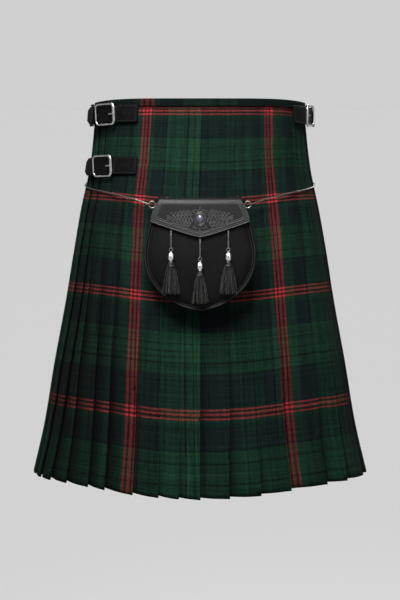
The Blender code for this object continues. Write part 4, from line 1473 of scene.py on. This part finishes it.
def make_ornament():
    """Raised interlace and scrolls of plain make on both sides of the stone."""
    bm = bmesh.new()
    out_way = sporran_axes()[3]
    top = FLAP_THICK / 2

    def rope(spots, half):
        """A raised strand on the leather that rises and sinks along its way."""
        route = []
        for index, (across, drop) in enumerate(spots):
            lift = top + 0.12 + 0.28 * math.sin(index * 0.9)
            route.append(flap_front(across, drop, lift))
        bar(bm, route, out_way, half * MM, 0.65 * MM, 6)

    def scroll(side, across, drop, size, turn):
        """A spiral that starts on the outside and turns inwards."""
        spots = []
        for index in range(22):
            angle = turn * index * 0.42
            radius = size * (1 - index / 26)
            spots.append((side * (across + radius * math.cos(angle)), drop + radius * math.sin(angle)))
        rope(spots, 0.55)

    def leaf(side, across, drop, lean, long, wide):
        """A closed pointed loop that leans this much."""
        spots = []
        for index in range(15):
            angle = WHOLE_TURN * index / 14
            one = long * math.cos(angle)
            other = wide * math.sin(angle)
            sideways = across + one * math.cos(lean) - other * math.sin(lean)
            spots.append((side * sideways, drop + one * math.sin(lean) + other * math.cos(lean)))
        rope(spots, 0.5)

    # One leaf upright above the stone and one below
    for drop in (LEAF_ABOVE, LEAF_BELOW):
        leaf(1, 0.0, drop, UPRIGHT, 3.4, 1.3)
    for _, side in SIDES:
        # Three strands plaited together, narrower towards the side
        for phase in (0, 2.1, 4.2):
            spots = []
            for share in spread(0, 1, 60):
                across = side * between(10.8, 45.0, share)
                high = between(6.6, 2.6, share) * math.sin(share * 15 + phase)
                spots.append((across, PLAIT_DROP + high))
            rope(spots, 0.62)
        # Scrolls and leaves along the upper and the lower edge, and a fan at the outer end
        for step in range(5):
            across = 15.0 + 6.3 * step
            size = 3.1 - 0.32 * step
            scroll(side, across, 20.6 + 0.85 * step, size, 1)
            scroll(side, across + 1.5, 38.6 - 0.85 * step, size, -1)
            leaf(side, across + 3.6, 17.4 + 1.0 * step, 0.5, 2.9 - 0.3 * step, 0.8)
            leaf(side, across + 4.6, 41.3 - 1.2 * step, -0.5, 2.9 - 0.3 * step, 0.8)
        for lean in (-0.4, 0.0, 0.4):
            leaf(side, 48.0, 28.5 + 6 * lean, lean, 3.0, 0.8)
        # Small leaves towards the upright ones
        for across, lean in ((5.0, -0.5), (9.0, -0.9)):
            leaf(side, across, LEAF_ABOVE + 0.5 * across, lean, 2.8, 0.8)
            leaf(side, across, LEAF_BELOW - 0.5 * across, -lean, 2.8, 0.8)
    # The raised strands are paler than the flap, partly worn and partly painted highlight
    piece("ornament_sporran_flap", bm, RAISED_LEATHER, "black_leather", sharp=60)


def make_stone():
    """A corded oval mount with a polished stone."""
    _, across, up, out = sporran_axes()
    face = FLAP_FRONT + FLAP_THICK / 2
    bm = bmesh.new()
    middle = on_sporran(0, -STONE_DROP, face + 1.0)

    def oval(half_wide, half_high, lift, count):
        return circle_route(middle + out * (lift * MM), across * half_wide, up * half_high, MM, count)

    bar(bm, oval(9.0, 11.0, 0.0, 48), out, 1.1 * MM, 1.0 * MM, closed=True)
    bar(bm, oval(6.6, 8.6, 0.2, 48), out, 1.2 * MM, 0.9 * MM, closed=True)
    grain = small_mesh("grain", one_stitch, 2.0 * MM, 1.5 * MM)
    grains = oval(9.0, 11.0, 0.8, 30)
    for index, point in enumerate(grains):
        along = grains[(index + 1) % len(grains)] - point
        add_mesh(bm, grain, axes_at(point, along, out) @ Matrix.Rotation(0.7, 4, "Z"))
    bpy.data.meshes.remove(grain)
    silver_piece("sporran_bezel", bm, DARK_SILVER)
    bm = bmesh.new()
    place = Matrix((across, up, out)).transposed().to_4x4()
    place.translation = on_sporran(0, -STONE_DROP, face + 0.6)
    profile = ((0.0, 3.9), (2.0, 3.6), (3.8, 2.8), (5.0, 1.6), (5.5, 0.0), (0.0, -0.3))
    turned(bm, profile, place @ Matrix.Diagonal((MM, 1.3 * MM, MM, 1)), 24)
    piece("stone_sporran", bm, STONE, "dark_stone", "sporran_stone", sharp=50)


def ring_place():
    """Across and up of a side ring's middle, beyond the end of its loop."""
    run = (Vector(LOOP_TO) - Vector(LOOP_FROM)).normalized()
    return Vector(LOOP_TO) + run * (RING_RADIUS + RING_WIRE + 0.3)


def make_loops():
    """Leather loops behind the back panel, doubled round their rings."""
    _, across, up, out = sporran_axes()
    for name, side in SIDES:
        start, end = Vector(LOOP_FROM), Vector(LOOP_TO)
        run = (end - start).normalized()
        edge = Vector((run.y, -run.x))
        reach = (end - start).length

        def place(column, row):
            """A flattened loop of leather: the rows go round it, the columns across."""
            width = (column / 5 - 0.5) * LOOP_WIDE
            angle = WHOLE_TURN * row / 24
            far = 0.5 + 0.5 * math.cos(angle)
            level = -1.2 + (1.15 + 0.5 * far**6) * math.sin(angle)
            spot = start + run * (far * (reach + 1.8) - 0.4) + edge * width * (1 - 0.16 * far)
            return on_sporran(side * spot.x, spot.y, level)

        bm, _ = shell(5, 24, place, ring=True)
        item = leather_piece(f"sporran_loop_{name}", bm, LEATHER)
        thicken(item, 1.1 * MM, 0.25 * MM)
        spot = ring_place()
        centre = on_sporran(side * spot.x, spot.y, RING_OUT)
        bm = bmesh.new()
        route = circle_route(centre, across, up, RING_RADIUS * MM, 32)
        bar(bm, route, out, RING_WIRE * MM, closed=True)
        silver_piece(f"sporran_ring_{name}", bm, AGED_SILVER)


def chain_point(side, turn):
    """A point on the chain round one hip."""
    drop = read(CHAIN_ROUTE, turn, 1)
    out = read(CHAIN_ROUTE, turn, 2) * MM
    return on_cloth(side * turn, drop / LENGTH, out)


def make_belt():
    """Chains round the hips, a ring at the end of each, and a strap over the back."""
    first, last = CHAIN_ROUTE[0][0], CHAIN_ROUTE[-1][0]
    for name, side in SIDES:
        spot = ring_place()
        hook = spot.x + RING_RADIUS - 0.4
        route = [on_sporran(side * hook, spot.y + 0.6, RING_OUT)]
        route += [chain_point(side, turn) for turn in spread(first, last, 40)]
        middle_turn = side * between(last, BACK_STRAP_FROM, 0.5)
        share = BACK_STRAP_DROP / LENGTH
        centre = on_cloth(middle_turn, share, 0.0020)
        along = (on_cloth(middle_turn + 2, share, 0) - on_cloth(middle_turn - 2, share, 0)).normalized()
        slope = (on_cloth(middle_turn, share - 0.02, 0) - on_cloth(middle_turn, share + 0.02, 0)).normalized()
        route.append(centre - along * side * BACK_RING_RADIUS)
        bm = bmesh.new()
        chain(bm, route, UP, *HIP_LINK)
        silver_piece(f"chain_{name}", bm, AGED_SILVER)
        bm = bmesh.new()
        ring = circle_route(centre, along, slope, BACK_RING_RADIUS, 36)
        bar(bm, ring, along.cross(slope), 0.0013, closed=True)
        silver_piece(f"back_ring_{name}", bm, SILVER)

    turns = spread(BACK_STRAP_FROM - BACK_STRAP_OVER, 360 + BACK_STRAP_OVER - BACK_STRAP_FROM, 60)

    def on_back(turn, height, lift=0.0):
        end = min(turn - turns[0], turns[-1] - turn)
        stand = 0.0016 * max(0.0, 1 - end / 3.0)
        out = BACK_STRAP_THICK / 2 + CLEAR + stand + lift
        return on_cloth(turn, (BACK_STRAP_DROP - height) / LENGTH, out)

    def width(turn):
        end = min(turn - turns[0], turns[-1] - turn)
        return between(0.62, 1.0, min(1.0, end / 3.4))

    leather_band("back_strap", on_back, turns, BACK_STRAP_WIDE, BACK_STRAP_THICK, width)
    stitches = bmesh.new()
    edge = BACK_STRAP_WIDE / 2 - STITCHES_IN
    lift = BACK_STRAP_THICK / 2
    for height in (-edge, edge):
        row = [on_back(turn, height, lift) for turn in spread(turns[0] + 4, turns[-1] - 4, 60)]
        sew(stitches, row, away, *STRAP_STITCH)
    piece("stitches_back_strap", stitches, BLACK_THREAD, "black_leather")


# Tassels


def make_tassels():
    """Each tassel on its chain and ring under the flap's edge."""
    _, across_way, up, out = sporran_axes()
    axes = Matrix((across_way, -out, up)).transposed().to_4x4()
    for number, (name, across, edge_drop, ring_drop) in enumerate(TASSELS):
        bm = bmesh.new()
        front = FLAP_FRONT - flap_fall(across)
        route = [
            on_sporran(across, -edge_drop + 5.0, front - 2.6),
            on_sporran(across, -edge_drop - 1.5, front - 2.0),
            on_sporran(across, -edge_drop - 8.0, between(front, TASSEL_OUT, 0.7)),
            on_sporran(across, -ring_drop + TASSEL_RING_RADIUS, TASSEL_OUT),
        ]
        chain(bm, route, across_way, *TASSEL_LINK)
        silver_piece(f"tassel_chain_{name}", bm, DARK_SILVER)
        bm = bmesh.new()
        centre = on_sporran(across, -ring_drop, TASSEL_OUT)
        ring = circle_route(centre, across_way, up, TASSEL_RING_RADIUS * MM, 24)
        bar(bm, ring, out, TASSEL_RING_WIRE * MM, closed=True)
        silver_piece(f"tassel_ring_{name}", bm, AGED_SILVER)
        bead_up = -ring_drop - TASSEL_RING_RADIUS - TASSEL_RING_WIRE - 0.3 - BEAD_HALF[1]
        head_up = bead_up - BEAD_HALF[1] - 0.3 - HEAD_HIGH
        bead_spot = on_sporran(across, bead_up, TASSEL_OUT)
        head_spot = on_sporran(across, head_up, TASSEL_OUT)
        make_bead(name, Matrix.Translation(bead_spot) @ axes @ IN_MM)
        make_tassel(name, Matrix.Translation(head_spot) @ axes @ IN_MM, number)


def make_bead(name, place):
    """A cage bead: a ribbed barrel with corded collars, and painted shade where it is pierced."""
    bm = bmesh.new()
    profile = []
    # The barrel's half height, the share of a half circle that it shows, and its collars' radius
    barrel = 6.7
    shown = 0.86
    collar = 1.8
    for index in range(15):
        angle = math.pi * (index / 14 - 0.5) * shown
        height = barrel * math.sin(angle) / math.sin(math.pi * shown / 2)
        profile.append((BEAD_HALF[0] * math.cos(angle), height))
    turned(bm, profile, place, 48, 12, 0.035)
    grain = small_mesh("grain", one_stitch, 1.1, 0.95)
    for height in (-6.5, 6.5):
        for angle in round_angles(16):
            spot = Vector((collar * math.cos(angle), collar * math.sin(angle), height))
            tangent = Vector((-math.sin(angle), math.cos(angle), 0))
            add_mesh(bm, grain, place @ axes_at(spot, tangent, away(spot)))
    bpy.data.meshes.remove(grain)
    profile = ((0.0, 7.2), (1.3, 7.2), (1.7, 6.9), (1.7, 6.3), (1.2, 5.8))
    turned(bm, profile, place, 16)
    turned(bm, [(radius, -height) for radius, height in profile], place, 16)
    bmesh.ops.recalc_face_normals(bm, faces=bm.faces)
    silver_piece(f"tassel_bead_{name}", bm, BEAD_SILVER, 50)
    # Pierced openings: dark patches of painted shade for the hollow inside
    bm = bmesh.new()
    opening = small_mesh("opening", one_stitch, 4.6, 1.7)
    for angle in round_angles(6):
        angle -= math.pi / 2
        spot = Vector((math.cos(angle), math.sin(angle), 0)) * 4.4
        add_mesh(bm, opening, place @ axes_at(spot, UP, spot) @ Matrix.Diagonal((1, 1, 0.45, 1)))
    bpy.data.meshes.remove(opening)
    piece(f"openings_tassel_bead_{name}", bm, HOLE_SHADE, "silver_metal")


def make_tassel(name, place, number):
    """A bound leather head with its thongs drawn out of its lower face."""
    bm = bmesh.new()
    profile = (
        (0.0, 7.0),
        (3.0, 6.9),
        (4.0, 6.2),
        (4.4, 5.0),
        (3.9, 4.3),
        (4.7, 3.9),
        (5.1, 3.2),
        (4.5, 2.6),
        (5.2, 2.2),
        (5.5, 1.2),
        (5.5, -0.4),
        (0.0, -0.4),
    )
    turned(bm, profile, place, 36, 12, 0.03)
    # Each thong a golden angle on from the one before, so that they fill the head evenly
    golden = 2.39996
    for index in range(STRANDS):
        share = math.sqrt((index + 0.5) / STRANDS)
        angle = golden * index + number
        root = Vector((5.0 * share * math.cos(angle), 4.4 * share * math.sin(angle), 0.4))
        swing = Vector((math.sin(index * 2.3 + number), 0.5 * math.cos(index * 1.7), 0)) * 1.5
        long = STRAND_LONG * (0.955 + 0.045 * math.sin(index * 4.1 + number))
        route = []
        for step in range(7):
            down = step / 6
            reach = root.copy()
            reach.x *= 1 + 1.5 * down**0.6
            reach.y *= 1 + 0.10 * down
            bend = swing * down + Vector((math.sin(down * 5 + index), 0, 0)) * 0.35 * down
            point = reach + bend
            point.z = 0.4 - (long + 0.4) * down
            route.append(place @ point)
        facing = place.to_3x3() @ Vector((math.cos(index * 1.3), math.sin(index * 1.3), 0))
        bar(bm, route, facing.normalized(), 0.75 * MM, 0.5 * MM, 4)
    leather_piece(f"tassel_{name}", bm, THONG, 50)


# Studio

CAMERA_LENS = 94.2
CAMERA_PLACE = (0, -2.6, -0.0017)
CAMERA_DOWN = 7.08
FLOOR_RADIUS = 900
FLOOR_DROP = 2.6
SUN_STRENGTH = 2.2
# Lamps: name, power, size, spread, place, and the point that each shines at
LAMPS = (
    ("key", 19.0, 0.8, 58, (-0.25, -1.15, 1.30), (0, -0.15, -0.02)),
    ("fill", 3, 1.0, 90, (0.7, -2.0, 0.6), (0, -0.15, -0.2)),
    ("back", 16, 1.2, 90, (0.5, 1.5, 1.2), (0, 0.15, -0.25)),
)


def way(azimuth, elevation):
    """Direction to a light: turned from the front towards the right, and raised."""
    side = math.radians(azimuth)
    high = math.radians(elevation)
    return Vector((math.sin(side) * math.cos(high), -math.cos(side) * math.cos(high), math.sin(high)))


def hang(light, place, target):
    """Puts a light at a place and turns it towards its target."""
    item = bpy.data.objects.new(light.name, light)
    bpy.context.scene.collection.objects.link(item)
    item.location = place
    item.rotation_mode = "QUATERNION"
    item.rotation_quaternion = (Vector(target) - Vector(place)).to_track_quat("-Z", "Y")


def make_studio():
    """Camera, pale floor, lamps and a sky that is bright below and dim above."""
    camera = bpy.data.objects.new("camera", bpy.data.cameras.new("camera"))
    bpy.context.scene.collection.objects.link(camera)
    camera.data.lens = CAMERA_LENS
    camera.location = CAMERA_PLACE
    camera.rotation_euler = (math.radians(90 - CAMERA_DOWN), 0, 0)
    camera.data.clip_end = 2000
    bpy.context.scene.camera = camera

    bm = bmesh.new()
    bmesh.ops.create_circle(bm, cap_ends=True, segments=64, radius=FLOOR_RADIUS)
    bmesh.ops.translate(bm, verts=bm.verts, vec=(0, 0, -FLOOR_DROP))
    mesh = bpy.data.meshes.new("floor")
    bm.to_mesh(mesh)
    bm.free()
    floor = bpy.data.objects.new("floor", mesh)
    bpy.context.scene.collection.objects.link(floor)
    mesh.materials.append(plain_finish("pale_floor", grey(0.80), 0.9))

    sun = bpy.data.lights.new("overhead", "SUN")
    sun.energy = SUN_STRENGTH
    sun.angle = math.radians(60)
    hang(sun, 5 * way(-20, 82), (0, 0, 0))
    for name, power, size, spread, place, target in LAMPS:
        light = bpy.data.lights.new(name, "AREA")
        light.energy = power
        light.size = size
        light.spread = math.radians(spread)
        hang(light, place, target)

    world = bpy.data.worlds.new("studio")
    world.use_nodes = True
    nodes = world.node_tree.nodes
    links = world.node_tree.links
    spot = nodes.new("ShaderNodeTexCoord")
    split = nodes.new("ShaderNodeSeparateXYZ")
    links.new(spot.outputs["Generated"], split.inputs[0])
    ramp = nodes.new("ShaderNodeValToRGB")
    ramp.color_ramp.elements[0].position = 0.08
    ramp.color_ramp.elements[0].color = (0.63, 0.63, 0.63, 1)
    ramp.color_ramp.elements[1].position = 0.30
    ramp.color_ramp.elements[1].color = (0.10, 0.10, 0.10, 1)
    links.new(split.outputs[2], ramp.inputs[0])
    links.new(ramp.outputs[0], nodes["Background"].inputs[0])
    bpy.context.scene.world = world
    bpy.context.scene.view_settings.view_transform = "Standard"


make_studio()
make_cloth()
make_waistband()
make_straps()
make_pouch()
make_flap()
make_stone()
make_loops()
make_belt()
make_tassels()
